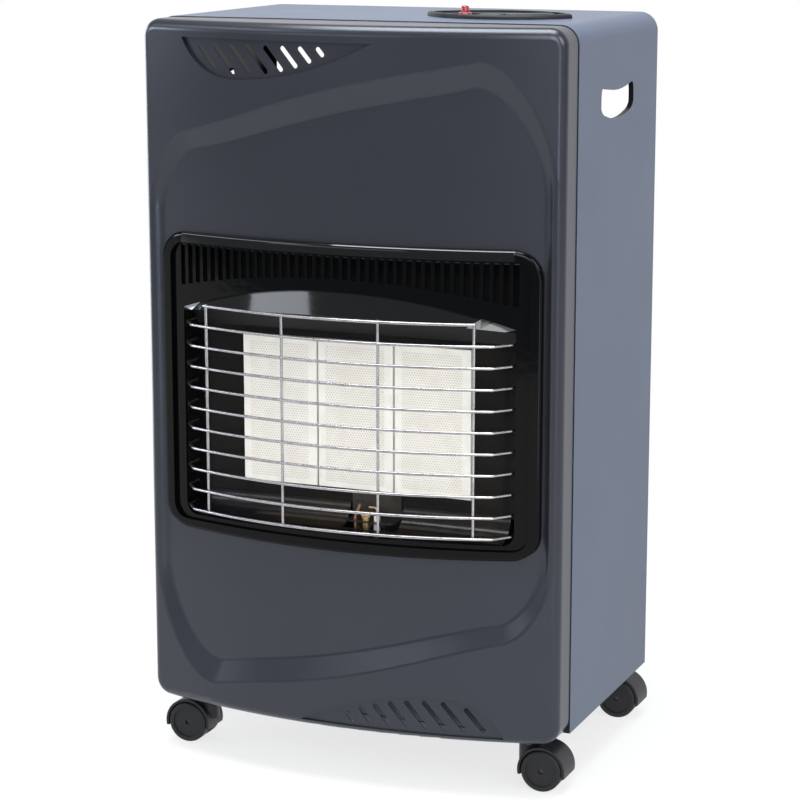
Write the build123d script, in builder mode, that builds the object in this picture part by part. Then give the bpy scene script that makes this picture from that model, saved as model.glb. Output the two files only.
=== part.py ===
from build123d import *
import math
import os

# A portable gas cabinet heater on four twin-wheel castors.
# Millimetres, +Z up, the front faces -Y. The origin is on the floor under the middle of the whole heater.

os.makedirs("parts", exist_ok=True)

# ---------------------------------------------------------------- driving sizes

# Cabinet wrap: one sheet folded over as two sides and a roof, open at the back
cabinet_width = 420.0
cabinet_top = 714.0
side_bottom = 57.0
side_depth = 238.0
sheet = 1.0
fold_radius = 18.0
front_flange = 10.0
rear_flange = 12.0

# What stands ahead of and behind the front edges of the sides
front_reach = 67.0
guard_reach = 82.5
cover_reach = 346.0
wire_diameter = 2.7

# Handle cut-outs in the sides
handle_length = 98.0
handle_height = 31.0
handle_sag = 4.0
handle_drop = 80.0
handle_setback = 114.0
handle_corner = 12.0
handle_lip = 5.0

# Front panel: a deep-drawn sheet, bowed in plan
bow_radius = 657.0
panel_bottom = 54.0
panel_step = 0.8
panel_seam = 0.4
panel_corner = 17.0
press_radius = 10.0
foot_flange = 18.0

# The big pressed recess of the front panel, the same after half a turn about its centre
recess_fall = 3.0
recess_margin = 10.0
recess_depth = 8.0
recess_low_drop = 103.0
recess_middle_drop = 58.0
recess_high_rise = 8.0
recess_side_run = 9.0
recess_low_run = 16.0
recess_middle_run = 21.0
recess_high_run = 26.0
recess_low_radius = 44.0
recess_high_radius = 55.0
recess_brow_round = 6.0
recess_foot_round = 7.0
recess_overrun = 3.0
recess_reach = 20.0

# Vent pockets: a shallow pocket at the upper left, repeated half a turn round at the lower right
pocket_fall = 2.5
pocket_depth = 3.5
pocket_inset = 105.0
pocket_drop = 53.0
pocket_left_radius = 61.0
pocket_right_radius = 298.0
pocket_left_reach = 56.0
pocket_right_reach = 142.0
vent_count = 8
vent_width = 4.6
vent_pitch = 18.0
vent_inset = 67.0
vent_drop = 21.5
vent_lean = 0.85
vent_margin = 5.0

# Fascia: enamelled frame with a beaded rim, seated in the recess
fascia_margin = 19.5
fascia_bottom = 228.0
fascia_top = 512.0
fascia_corner = 26.0
fascia_rim_height = 6.0
fascia_rim_width = 10.0
fascia_plate = 2.0
fascia_lap = 9.0
seat_clearance = 0.1
slot_count = 39
slot_width = 5.0
slot_drop = 12.0
slot_gap = 20.0
slot_rise = 18.0
opening_margin = 23.5
opening_bottom = 243.0
opening_drop = 71.0
opening_rise = 17.0
opening_corner = 12.0
opening_lip = 1.2
opening_lip_depth = 3.5
visor_reach = 12.0
visor_end_height = 3.0
visor_height = 14.0

# Wire guard: eleven bowed wires on four uprights
guard_radius = 440.0
guard_shoulder = 13.7
guard_side_gap = 2.8
guard_foot_reach = 39.0
guard_tail_reach = 20.0
guard_bottom = 252.0
guard_pitch = 19.8
guard_rows = 11
upright_inner_x = 48.0
upright_inset = 16.5
guard_bend = 5.0

# Burners: three ceramic plaques in their plenums
plaque_count = 3
plaque_pitch = 77.7
plaque_height = 141.0
plaque_thickness = 13.0
plaque_face_reach = 17.5
plaque_bottom = 277.0
plaque_proud = 2.0
plenum_wall = 0.8
plenum_depth = 37.5
plenum_gap = 0.2
mixer_diameter = 17.0
mixer_bell = 23.0
mixer_bell_height = 7.0
mixer_wall = 0.8
mixer_setback = 8.0
mixer_mouth_z = 250.0

# Reflectors round the burners
reflector = 0.8
reflector_frame_reach = 14.0
reflector_frame_bottom = 262.0
reflector_rise = 11.0
reflector_side_clearance = 0.3
deflector_overhang = 2.0
deflector_overlap = 2.0
canopy_fall = 15.0

# Heat shield and the rails behind the burners
shield_setback = 36.0
shield_bottom = 205.0
shield_top = 560.0
shield_flange = 14.0
shield_vent_count = 3
shield_vent_length = 120.0
shield_vent_height = 6.0
shield_vent_pitch = 14.0
shield_vent_drop = 20.0
side_play = 0.3
shield_hole = 14.0
shield_window_left = -24.0
shield_window_right = 36.0
shield_window_bottom = 217.0
shield_window_top = 256.0
rail_height = 14.0
rail_inset = 20.0
rail_overhang = 18.0
rail_sheet = 1.0
clip_left = -28.0
clip_overhang = 25.0
clip_height = 9.0
clip_setback = 55.0
clip_heights = (345.0, 520.0)

# Gas train
valve_inset = 81.0
valve_setback = 97.0
valve_width = 54.0
valve_depth = 36.0
valve_drop = 54.0
valve_neck = 16.0
valve_neck_drop = 14.5
valve_nut = 22.0
valve_nut_height = 3.0
hanger_drop = 20.0
hanger_sheet = 1.5
hanger_width = 34.0
hanger_half_span = 46.0
hanger_foot = 10.0
rotor_diameter = 14.0
rotor_drop = 41.0
rotor_height = 10.0
rotor_play = 0.1
stem_diameter = 8.0
stem_foot_drop = 37.0
stem_drop = 6.0
stem_well_drop = 46.0
stem_flat = 2.5
stem_flat_drop = 24.0
running_clearance = 0.05
outlet_pitch = 12.0
outlet_height = 6.0
outlet_diameter = 8.0
pipe_diameter = 5.0
pilot_pipe_diameter = 4.0
pipe_bend = 7.0
pipe_setback = 50.0
pipe_knee_drop = 114.0
pipe_turn_drop = 139.0
pipe_joint = 0.2
injector_level = 230.0
pipe_level_step = 15.0
injector_flats = 12.0
injector_bottom = 221.4
injector_shoulder_z = 238.0
injector_nozzle = 7.0
injector_tip_z = 246.0
injector_port = 9.0
injector_port_length = 6.0
injector_jet = 1.2
injector_rail_sheet = 1.2
injector_rail_z = 220.0
injector_rail_reach = 4.0
injector_rail_half = 100.0
injector_tab_x = 52.0
injector_tab_width = 18.0
injector_tab_height = 12.0
inlet_diameter = 9.0
inlet_length = 24.0
inlet_nut = 15.0
inlet_nut_length = 9.0
inlet_bore = 6.0
inlet_spigot = 8.0
inlet_chamfer = 0.5

# Pilot light group in front of the burners
pilot_x = 16.0
pilot_reach = 30.0
pilot_diameter = 7.0
pilot_bottom = 232.0
pilot_top = 258.0
pilot_hood = 9.0
pilot_hood_height = 4.0
pilot_hood_mouth = 1.75
pilot_level = 240.0
pilot_outlet_shift = 22.5
bracket_sheet = 1.2
bracket_z = 250.0
bracket_left = -4.0
bracket_right = 46.0
bracket_front_reach = 36.0
bracket_tab_top = 273.0
bracket_corner = 8.0
bracket_play = 0.2
notch_play = 2.0
sensor_x = 5.0
sensor_diameter = 3.0
sensor_bottom = 244.0
sensor_knee_z = 253.0
sensor_tip_x = 10.0
sensor_tip_z = 266.0
spark_x = 27.0
spark_ceramic = 6.0
spark_ceramic_bottom = 243.0
spark_ceramic_top = 256.0
spark_wire = 1.8
spark_knee_z = 264.0
spark_tip_x = 19.0
spark_bend = 3.0
lead_diameter = 3.0
lead_level = 226.0
lead_setback = 44.0
lead_knee_drop = 114.0
lead_bend = 12.0
capillary_diameter = 2.4
capillary_x = -16.0
capillary_level = 228.0
capillary_drop = 40.0
capillary_bend = 10.0
capillary_turn_shift = 59.0
capillary_end_shift = 39.0

# Controls in the roof
bezel_shift = 31.0
bezel_half_length = 72.0
bezel_half_depth = 46.0
bezel_height = 4.0
bezel_round = 2.4
bezel_floor_drop = 10.5
bezel_wall = 1.8
bezel_hole_play = 0.3
dish_diameter = 60.0
button_shift = 65.0
well_diameter = 30.0
boss_hole = 18.0
knob_diameter = 52.0
knob_drop = 5.5
knob_disc = 4.5
knob_edge = 1.5
knob_grip_width = 11.0
knob_grip_length = 46.0
knob_grip_height = 9.0
knob_grip_round = 2.0
knob_grip_corner = 3.6
knob_grip_taper = 3.0
knob_boss = 15.0
knob_boss_drop = 2.8
knob_turn = 35.0
button_diameter = 12.5
button_drop = 2.5
button_rise = 10.0
button_round = 1.5
button_shank = 9.0
button_shank_drop = 20.0
button_play = 0.4
igniter_diameter = 18.0
igniter_collar = 23.0
igniter_collar_height = 2.0
igniter_nut = 24.0
igniter_nut_height = 4.0
igniter_drop = 74.0
igniter_bore_drop = 28.0
igniter_terminal = 4.0
igniter_terminal_length = 8.0

# Base tray and the bottle's place
tray_sheet = 1.2
tray_lip = 22.0
tray_front_reach = 22.0
tray_side_play = 0.3
tray_front_margin = 12.0
tray_shoulder_margin = 15.0
tray_taper = 49.0
tray_tail_play = 11.0
tray_tail_corner = 32.0
ring_radius = 118.0
ring_width = 5.0
ring_height = 2.5
ring_setback = 188.0

# Rear cover
cover_play = 0.4
cover_bottom = 58.0
cover_drop = 162.0
cover_flange_margin = 3.0
cover_corner = 35.0
cover_hem_height = 10.0
cover_vent_count = 6
cover_vent_length = 70.0
cover_vent_height = 5.0
cover_vent_pitch = 13.0
cover_vent_spread = 64.0
cover_vent_low_z = 110.0
cover_vent_drop = 102.0
stud_diameter = 5.0
stud_hole_play = 0.2
stud_length = 6.0
stud_inset = 8.0
stud_low_z = 140.0
stud_drop = 52.0

# Castors
castor_front_setback = 4.0
castor_rear_inset = 2.0
castor_inset = 41.0
castor_trail = 16.5
wheel_radius = 20.0
wheel_width = 13.4
wheel_edge_round = 2.5
wheel_dish = 1.2
web_half = 3.0
wheel_gap = 0.5
hood_thickness = 2.4
hood_play = 1.0
hood_skirt_drop = 5.0
neck_diameter = 20.0
neck_top = 54.0
castor_stem = 8.0
castor_stem_top = 84.0
axle_diameter = 5.0
axle_half = 14.0
socket_diameter = 13.0
socket_top = 88.0
socket_flange = 26.0
socket_flange_sheet = 2.6
neck_foot = 24.0
hood_half = 16.0

# Screws
screw_head = 7.0
screw_head_height = 2.0
screw_shank = 3.6
screw_length = 7.0
screw_hole_play = 0.2
screw_inset = 8.0

# ---------------------------------------------------------------- worked out from those sizes

wire_radius = wire_diameter / 2
side_front = (guard_reach + wire_radius - cover_reach) / 2
side_rear = side_front + side_depth
half_cabinet = cabinet_width / 2
front_crown = side_front - front_reach
field_crown = front_crown + recess_depth
plate_crown = field_crown - seat_clearance - fascia_plate
rim_crown = field_crown - seat_clearance - fascia_rim_height
panel_half = half_cabinet - panel_step
panel_top = cabinet_top - panel_step
panel_back = side_front - panel_seam
shield_y = side_front + shield_setback
pipe_y = side_front + pipe_setback
mixer_y = side_front + mixer_setback
valve_y = side_front + valve_setback
control_y = valve_y
pilot_y = side_front - pilot_reach
frame_y = side_front - reflector_frame_reach
plaque_face = side_front - plaque_face_reach
burner_xs = [plaque_pitch * (index - (plaque_count - 1) / 2) for index in range(plaque_count)]
burner_names = ["left", "center", "right"]
plaque_top = plaque_bottom + plaque_height
plenum_front = plaque_face + plaque_proud
plenum_back = plenum_front + plenum_depth
plenum_foot = plaque_bottom - plenum_wall - seat_clearance
plenum_head = plaque_top + plenum_wall + seat_clearance
rail_half = plaque_pitch * plaque_count / 2 + rail_overhang
rail_heights = (plenum_foot + rail_inset, plenum_head - rail_inset)
screw_xs = (-rail_half + screw_inset, rail_half - screw_inset)

# Across the cabinet
recess_half_width = half_cabinet - recess_margin
fascia_half_width = half_cabinet - fascia_margin
opening_half_width = fascia_half_width - opening_margin
slot_span = 2 * opening_half_width
guard_foot_x = opening_half_width - guard_side_gap
guard_half_span = guard_foot_x - guard_shoulder
upright_outer_x = guard_half_span - upright_inset
pocket_low_x = pocket_inset - half_cabinet
vent_first_x = vent_inset - half_cabinet
valve_x = half_cabinet - valve_inset
bezel_x = valve_x - bezel_shift
button_x = valve_x - button_shift
pilot_outlet_x = valve_x - pilot_outlet_shift
clip_right = valve_x + clip_overhang
capillary_turn_x = valve_x - capillary_turn_shift
capillary_end_x = valve_x - capillary_end_shift
tray_front_half = half_cabinet - tray_front_margin
tray_shoulder_half = half_cabinet - tray_shoulder_margin
tray_tail_half = tray_shoulder_half - tray_taper
cover_flange_half = half_cabinet - cover_flange_margin
castor_stem_x = half_cabinet - castor_inset

# Up the cabinet, measured from its roof
recess_centre_z = (panel_bottom + cabinet_top) / 2 - recess_fall
recess_low_corner = cabinet_top - recess_low_drop
recess_middle = cabinet_top - recess_middle_drop
recess_high_corner = cabinet_top + recess_high_rise
pocket_centre_z = recess_centre_z - pocket_fall
pocket_low_z = cabinet_top - pocket_drop
vent_top_z = cabinet_top - vent_drop
handle_z = cabinet_top - handle_drop
valve_bottom = cabinet_top - valve_drop
valve_neck_top = cabinet_top - valve_neck_drop
hanger_base_z = cabinet_top - hanger_drop
rotor_bottom = cabinet_top - rotor_drop
stem_bottom = cabinet_top - stem_foot_drop
stem_top = cabinet_top - stem_drop
stem_well_bottom = cabinet_top - stem_well_drop
stem_flat_top = cabinet_top - stem_flat_drop
pipe_drop_z = cabinet_top - pipe_knee_drop
pipe_turn_z = cabinet_top - pipe_turn_drop
lead_rise_z = cabinet_top - lead_knee_drop
capillary_top_z = cabinet_top - capillary_drop
bezel_floor_z = cabinet_top - bezel_floor_drop
knob_underside_z = cabinet_top - knob_drop
button_underside_z = cabinet_top - button_drop
button_shank_bottom = cabinet_top - button_shank_drop
igniter_bottom = cabinet_top - igniter_drop
igniter_bore_bottom = cabinet_top - igniter_bore_drop
cover_top = cabinet_top - cover_drop
button_top_z = cabinet_top + button_rise
cover_vent_high_z = cover_top - cover_vent_drop
stud_high_z = cover_top - stud_drop
opening_end_z = fascia_top - opening_drop
slot_top_z = fascia_top - slot_drop
slot_end_z = opening_end_z + slot_gap
reflector_top_z = opening_end_z + reflector_rise
canopy_rear_z = opening_end_z - canopy_fall
half_turn_of_pocket = Location((0, 0, 2 * pocket_centre_z), (0, 180, 0))

# Along the cabinet
castor_rear_setback = side_depth - castor_rear_inset
tray_tail_reach = cover_reach - tray_tail_play


def finish(piece, name):
    """Label a finished piece and write its file."""
    piece.part.label = name
    export_step(piece.part, "parts/" + name + ".step")


def front_plane(y):
    """An upright plane across the heater at y: sketch x is X, sketch y is Z, and it faces forward."""
    return Plane(origin=(0, y, 0), x_dir=(1, 0, 0), z_dir=(0, -1, 0))


def bow_y(x, crown):
    """Where a bowed surface with its crown at y = crown lies at x."""
    return crown + bow_radius - math.sqrt(bow_radius**2 - x**2)


def ahead_of(crown):
    """The space in front of a bowed surface, to trim or cut with."""
    half = half_cabinet + fold_radius
    far = crown - front_reach
    with BuildPart() as space:
        with BuildSketch():
            with BuildLine():
                ThreePointArc((-half, bow_y(half, crown)), (0, crown), (half, bow_y(half, crown)))
                Polyline(
                    (half, bow_y(half, crown)), (half, far), (-half, far), (-half, bow_y(half, crown))
                )
            make_face()
        extrude(amount=cabinet_top + fold_radius)
    return space.part


# ---------------------------------------------------------------- cabinet wrap


def wrap_outline(inset, foot):
    """Front view of the cabinet, drawn in by inset at its sides and roof, down to foot."""
    half = half_cabinet - inset
    top = cabinet_top - inset
    with BuildSketch() as outline:
        with BuildLine():
            Polyline((-half, top), (-half, foot), (half, foot), (half, top), close=True)
        make_face()
        fillet(outline.vertices().group_by(Axis.Y)[-1], max(fold_radius - inset, sheet))
    return outline.sketch


def handle_outline(grow):
    """The smile-shaped hand hole in a side, as seen from that side."""
    half = handle_length / 2 + grow
    rise = handle_height / 2 + grow
    with BuildSketch() as outline:
        with BuildLine():
            ThreePointArc((-half, rise), (0, rise - handle_sag), (half, rise))
            Line((half, rise), (half, -rise))
            ThreePointArc((half, -rise), (0, -rise - handle_sag), (-half, -rise))
            Line((-half, -rise), (-half, rise))
        make_face()
        fillet(outline.vertices(), handle_corner + grow)
    return outline.sketch


def bezel_outline(inset):
    """The lens-shaped plan of the control bezel."""
    half = bezel_half_length - inset
    depth = bezel_half_depth - inset
    with BuildSketch() as outline:
        with BuildLine():
            ThreePointArc((-half, 0), (0, depth), (half, 0))
            ThreePointArc((half, 0), (0, -depth), (-half, 0))
        make_face()
    return outline.sketch


handle_centre = (side_front + handle_setback, handle_z)

with BuildPart() as housing:
    with BuildSketch(front_plane(side_front)):
        add(wrap_outline(0, side_bottom))
        add(wrap_outline(sheet, side_bottom - sheet), mode=Mode.SUBTRACT)
    extrude(amount=-side_depth)
    with BuildSketch(front_plane(side_front)):
        add(wrap_outline(0, side_bottom))
        add(wrap_outline(front_flange, side_bottom - sheet), mode=Mode.SUBTRACT)
    extrude(amount=-sheet)
    with BuildSketch(front_plane(side_rear)):
        add(wrap_outline(0, side_bottom))
        add(wrap_outline(rear_flange, side_bottom - sheet), mode=Mode.SUBTRACT)
    extrude(amount=sheet)
    with BuildSketch(Plane.YZ.offset(-half_cabinet)):
        with Locations(handle_centre):
            add(handle_outline(sheet))
    extrude(amount=handle_lip)
    with BuildSketch(Plane.YZ.offset(half_cabinet)):
        with Locations(handle_centre):
            add(handle_outline(sheet))
    extrude(amount=-handle_lip)
    with BuildSketch(Plane.YZ):
        with Locations(handle_centre):
            add(handle_outline(0))
    extrude(amount=half_cabinet + sheet, both=True, mode=Mode.SUBTRACT)
    for cup_x, cup in ((valve_x, dish_diameter), (button_x, well_diameter)):
        with Locations((cup_x, control_y, cabinet_top)):
            Cylinder(cup / 2 + bezel_wall + bezel_hole_play, 2 * sheet + bezel_wall, mode=Mode.SUBTRACT)
    with Locations(*[Location((x, side_rear, z), (-90, 0, 0))
                     for x in (-half_cabinet + stud_inset, half_cabinet - stud_inset)
                     for z in (stud_low_z, stud_high_z)]):
        Cylinder(stud_diameter / 2, stud_length, align=(Align.CENTER, Align.CENTER, Align.MIN))
finish(housing, "housing")

# ---------------------------------------------------------------- front panel


def recess_section(level):
    """Where the sloping wall of the big recess cuts an upright plane at y = level."""
    at_side = (level - bow_y(recess_half_width, front_crown)) / recess_depth
    at_middle = (level - front_crown) / recess_depth
    half = recess_half_width - recess_side_run * at_side
    low = recess_low_corner - recess_low_run * at_side
    middle = recess_middle - recess_middle_run * at_middle
    high = recess_high_corner - recess_high_run * at_side
    turned = 2 * recess_centre_z
    with BuildSketch() as section:
        with BuildLine():
            ThreePointArc((-half, low), (0, middle), (half, high))
            Line((half, high), (half, turned - low))
            ThreePointArc((half, turned - low), (0, turned - middle), (-half, turned - high))
            Line((-half, turned - high), (-half, low))
        make_face()
        fillet(section.vertices().filter_by(is_low_corner), recess_low_radius)
        fillet(section.vertices().filter_by(is_high_corner), recess_high_radius)
    return section.sketch


def is_low_corner(corner):
    """True for the two blunt corners of the recess, upper left and lower right."""
    return abs(corner.X) > recess_depth and corner.X * (corner.Y - recess_centre_z) < 0


def is_high_corner(corner):
    """True for the two sharp corners of the recess, where two long edges still meet."""
    return corner.X * (corner.Y - recess_centre_z) > 0 and abs(corner.X) > half_cabinet / 2


recess_front = front_crown - recess_overrun
recess_back = side_front - recess_reach

with BuildPart() as recess_void:
    with BuildSketch(front_plane(recess_front)):
        add(recess_section(recess_front))
    with BuildSketch(front_plane(recess_back)):
        add(recess_section(recess_back))
    loft(ruled=True)
    add(ahead_of(field_crown), mode=Mode.INTERSECT)


def pocket_edge_z(x):
    """Height of the pocket's lower edge at x: a tight arc on the left, a long one on the right."""
    radius = pocket_left_radius if x < pocket_low_x else pocket_right_radius
    return pocket_low_z + radius - math.sqrt(radius**2 - (x - pocket_low_x) ** 2)


def pocket_space(inset):
    """What the upper vent pocket takes out of the front, or out of the hollow behind it."""
    left = pocket_low_x - pocket_left_reach
    right = pocket_low_x + pocket_right_reach
    with BuildPart() as space:
        with BuildSketch(front_plane(front_crown - sheet)) as outline:
            with BuildLine():
                TangentArc((pocket_low_x, pocket_low_z), (left, pocket_edge_z(left)), tangent=(-1, 0))
                TangentArc((pocket_low_x, pocket_low_z), (right, pocket_edge_z(right)), tangent=(1, 0))
                Line((left, pocket_edge_z(left)), (right, pocket_edge_z(right)))
            make_face()
            if inset:
                offset(amount=inset)
        extrude(amount=-front_reach)
        add(ahead_of(front_crown + pocket_depth + inset), mode=Mode.INTERSECT)
    return space.part


def pressed_form(inset, back):
    """The drawn front as a solid, drawn in by inset, to stand for its outside or for its hollow."""
    crown = front_crown + inset
    half = panel_half - inset
    with BuildPart() as form:
        with BuildSketch(Plane.XY.offset(panel_bottom + inset)):
            with BuildLine():
                ThreePointArc((-half, bow_y(half, crown)), (0, crown), (half, bow_y(half, crown)))
                Polyline((half, bow_y(half, crown)), (half, back), (-half, back), (-half, bow_y(half, crown)))
            make_face()
        extrude(amount=panel_top - panel_bottom - 2 * inset)
        fillet(form.edges().filter_by(Axis.Y), panel_corner - inset)
        fillet(form.faces().sort_by(Axis.Y)[0].edges(), press_radius - inset)
        add(recess_void.part.moved(Location((0, inset, 0))), mode=Mode.SUBTRACT)
        contour = form.faces().filter_by(lambda face: face.inner_wires())[0].inner_wires()[0]
        fillet(contour.edges(), recess_brow_round - inset)
        field = form.faces().filter_by(GeomType.CYLINDER).sort_by(SortBy.AREA)[-1]
        fillet(field.outer_wire().edges(), recess_foot_round + inset)
        add(pocket_space(inset), mode=Mode.SUBTRACT)
        add(pocket_space(inset).moved(half_turn_of_pocket), mode=Mode.SUBTRACT)
    return form.part


with BuildPart() as front_panel:
    add(pressed_form(0, panel_back))
    add(pressed_form(sheet, panel_back + sheet), mode=Mode.SUBTRACT)
    with BuildSketch(front_plane(front_crown - sheet)):
        with Locations((0, (fascia_bottom + fascia_top) / 2)):
            RectangleRounded(
                2 * (fascia_half_width - fascia_lap),
                fascia_top - fascia_bottom - 2 * fascia_lap,
                fascia_corner - fascia_lap,
            )
    extrude(amount=-front_reach, mode=Mode.SUBTRACT)
    with BuildSketch(Plane.XY.offset(panel_bottom)):
        half = panel_half - foot_flange
        crown = front_crown + foot_flange
        with BuildLine():
            ThreePointArc((-half, bow_y(half, crown)), (0, crown), (half, bow_y(half, crown)))
            Polyline(
                (half, bow_y(half, crown)), (half, side_front),
                (-half, side_front), (-half, bow_y(half, crown)),
            )
        make_face()
    extrude(amount=2 * sheet, mode=Mode.SUBTRACT)
    for turn in (Location(), half_turn_of_pocket):
        with BuildSketch(front_plane(front_crown - sheet)) as vents:
            for index in range(vent_count):
                top_x = vent_first_x + vent_pitch * index
                low_z = pocket_edge_z(top_x + vent_lean * vent_pitch) + vent_margin
                fall = vent_top_z - low_z
                centre = Vector(top_x + vent_lean * fall / 2, vent_top_z - fall / 2)
                if turn != Location():
                    centre = Vector(-centre.X, 2 * pocket_centre_z - centre.Y)
                with Locations(centre):
                    SlotOverall(
                        math.hypot(fall, vent_lean * fall), vent_width,
                        rotation=-math.degrees(math.atan2(1, vent_lean)),
                    )
        extrude(amount=-front_reach + 2 * recess_depth, mode=Mode.SUBTRACT)
finish(front_panel, "front_panel")

# ---------------------------------------------------------------- fascia and its guard


def fascia_outline(inset):
    """Front view of the fascia, drawn in by inset."""
    with BuildSketch() as outline:
        with Locations((0, (fascia_bottom + fascia_top) / 2)):
            RectangleRounded(
                2 * (fascia_half_width - inset),
                fascia_top - fascia_bottom - 2 * inset,
                fascia_corner - inset,
            )
    return outline.sketch


def opening_outline(grow):
    """The burner opening: square at the foot, arched under the visor."""
    half = opening_half_width + grow
    foot = opening_bottom - grow
    end = opening_end_z + grow
    with BuildSketch() as outline:
        with BuildLine():
            ThreePointArc((-half, end), (0, end + opening_rise), (half, end))
            Polyline((half, end), (half, foot), (-half, foot), (-half, end))
        make_face()
        fillet(outline.vertices().group_by(Axis.Y)[0], opening_corner + grow)
    return outline.sketch


def slot_foot_z(x):
    """Height of the foot of the slot at x; the row is cut off along an arch."""
    return slot_end_z + slot_rise * (1 - (2 * x / slot_span) ** 2)


lip_back = bow_y(opening_half_width, plate_crown) + opening_lip_depth

with BuildPart() as visor_space:
    with BuildSketch():
        with BuildLine():
            tip_y = bow_y(opening_half_width, plate_crown)
            ThreePointArc(
                (-opening_half_width, tip_y), (0, plate_crown - visor_reach), (opening_half_width, tip_y)
            )
            Polyline(
                (opening_half_width, tip_y), (opening_half_width, lip_back),
                (-opening_half_width, lip_back), (-opening_half_width, tip_y),
            )
        make_face()
    extrude(amount=cabinet_top)

with BuildPart() as fascia:
    with BuildSketch(front_plane(front_crown)):
        add(fascia_outline(0))
    extrude(amount=-front_reach)
    add(ahead_of(field_crown - seat_clearance), mode=Mode.INTERSECT)
    add(ahead_of(rim_crown), mode=Mode.SUBTRACT)
    bead = fascia.faces().sort_by(Axis.Y)[0]
    fillet(bead.edges(), fascia_rim_height - fascia_plate)
    with BuildSketch(front_plane(front_crown)):
        add(fascia_outline(fascia_rim_width))
    hollow = extrude(amount=-front_reach, mode=Mode.PRIVATE)
    add(hollow & ahead_of(plate_crown), mode=Mode.SUBTRACT)
    with BuildSketch(front_plane(front_crown - visor_reach)):
        with BuildLine():
            visor_foot = opening_end_z + opening_rise
            ThreePointArc(
                (-opening_half_width, opening_end_z), (0, visor_foot), (opening_half_width, opening_end_z)
            )
            Line((opening_half_width, opening_end_z), (opening_half_width, opening_end_z + visor_end_height))
            ThreePointArc(
                (opening_half_width, opening_end_z + visor_end_height),
                (0, visor_foot + visor_height),
                (-opening_half_width, opening_end_z + visor_end_height),
            )
            Line(
                (-opening_half_width, opening_end_z + visor_end_height),
                (-opening_half_width, opening_end_z),
            )
        make_face()
    brow = extrude(amount=-front_reach, mode=Mode.PRIVATE)
    add(brow & visor_space.part)
    with BuildSketch(front_plane(front_crown)):
        add(opening_outline(opening_lip))
    lip = extrude(amount=front_crown - lip_back, mode=Mode.PRIVATE)
    add(lip - ahead_of(plate_crown))
    with BuildSketch(front_plane(front_crown - visor_reach)):
        add(opening_outline(0))
    extrude(amount=-front_reach, mode=Mode.SUBTRACT)
    with BuildSketch(front_plane(front_crown)):
        for index in range(slot_count):
            x = slot_span * (index / (slot_count - 1) - 0.5)
            with Locations((x, (slot_top_z + slot_foot_z(x)) / 2)):
                Rectangle(slot_width, slot_top_z - slot_foot_z(x))
    extrude(amount=front_crown - lip_back, mode=Mode.SUBTRACT)
finish(fascia, "fascia")


def guard_y(x, inside=0):
    """Where the bowed wires of the guard lie at x, or an arc that lies inside them."""
    return side_front - guard_reach + guard_radius - math.sqrt((guard_radius - inside) ** 2 - x**2)


with BuildPart() as guard_wire:
    end_y = guard_y(guard_half_span)
    foot_y = side_front - guard_foot_reach
    tail_y = side_front - guard_tail_reach
    with BuildLine() as wire_path:
        Polyline((-guard_foot_x, tail_y), (-guard_foot_x, foot_y), (-guard_half_span, end_y))
        ThreePointArc((-guard_half_span, end_y), (0, guard_y(0)), (guard_half_span, end_y))
        Polyline((guard_half_span, end_y), (guard_foot_x, foot_y), (guard_foot_x, tail_y))
        fillet(wire_path.vertices().sort_by(Axis.Y)[:-2], guard_bend)
    with BuildSketch(Plane(origin=(-guard_foot_x, tail_y, 0), z_dir=(0, -1, 0))):
        Circle(wire_radius)
    sweep()

with BuildPart() as wire_guard:
    top_wire_z = guard_bottom + guard_pitch * (guard_rows - 1)
    with Locations(*[(0, 0, guard_bottom + guard_pitch * row) for row in range(guard_rows - 1)]):
        add(guard_wire.part)
    with BuildLine() as top_wire:
        end_x = upright_outer_x + wire_radius
        ThreePointArc(
            (-end_x, guard_y(end_x), top_wire_z),
            (0, guard_y(0), top_wire_z),
            (end_x, guard_y(end_x), top_wire_z),
        )
    with BuildSketch(Plane(origin=top_wire.line @ 0, z_dir=top_wire.line % 0)):
        Circle(wire_radius)
    sweep()
    for x in (-upright_outer_x, -upright_inner_x, upright_inner_x, upright_outer_x):
        y = guard_y(x, wire_diameter + seat_clearance)
        with BuildSketch(Plane(origin=(x, y, guard_bottom - wire_radius), z_dir=(0, 0, 1))):
            Circle(wire_radius)
        extrude(amount=guard_pitch * (guard_rows - 1) + wire_diameter)
finish(wire_guard, "wire_guard")

# ---------------------------------------------------------------- burners


def box_between(low, high, mode=Mode.ADD):
    """A block between two opposite corners, in the part that is being built."""
    size = Vector(*high) - Vector(*low)
    with Locations(Vector(*low)):
        Box(size.X, size.Y, size.Z, align=(Align.MIN, Align.MIN, Align.MIN), mode=mode)


plenum_half = plaque_pitch / 2 - plenum_gap / 2
plaque_half = plenum_half - plenum_wall - seat_clearance

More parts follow.
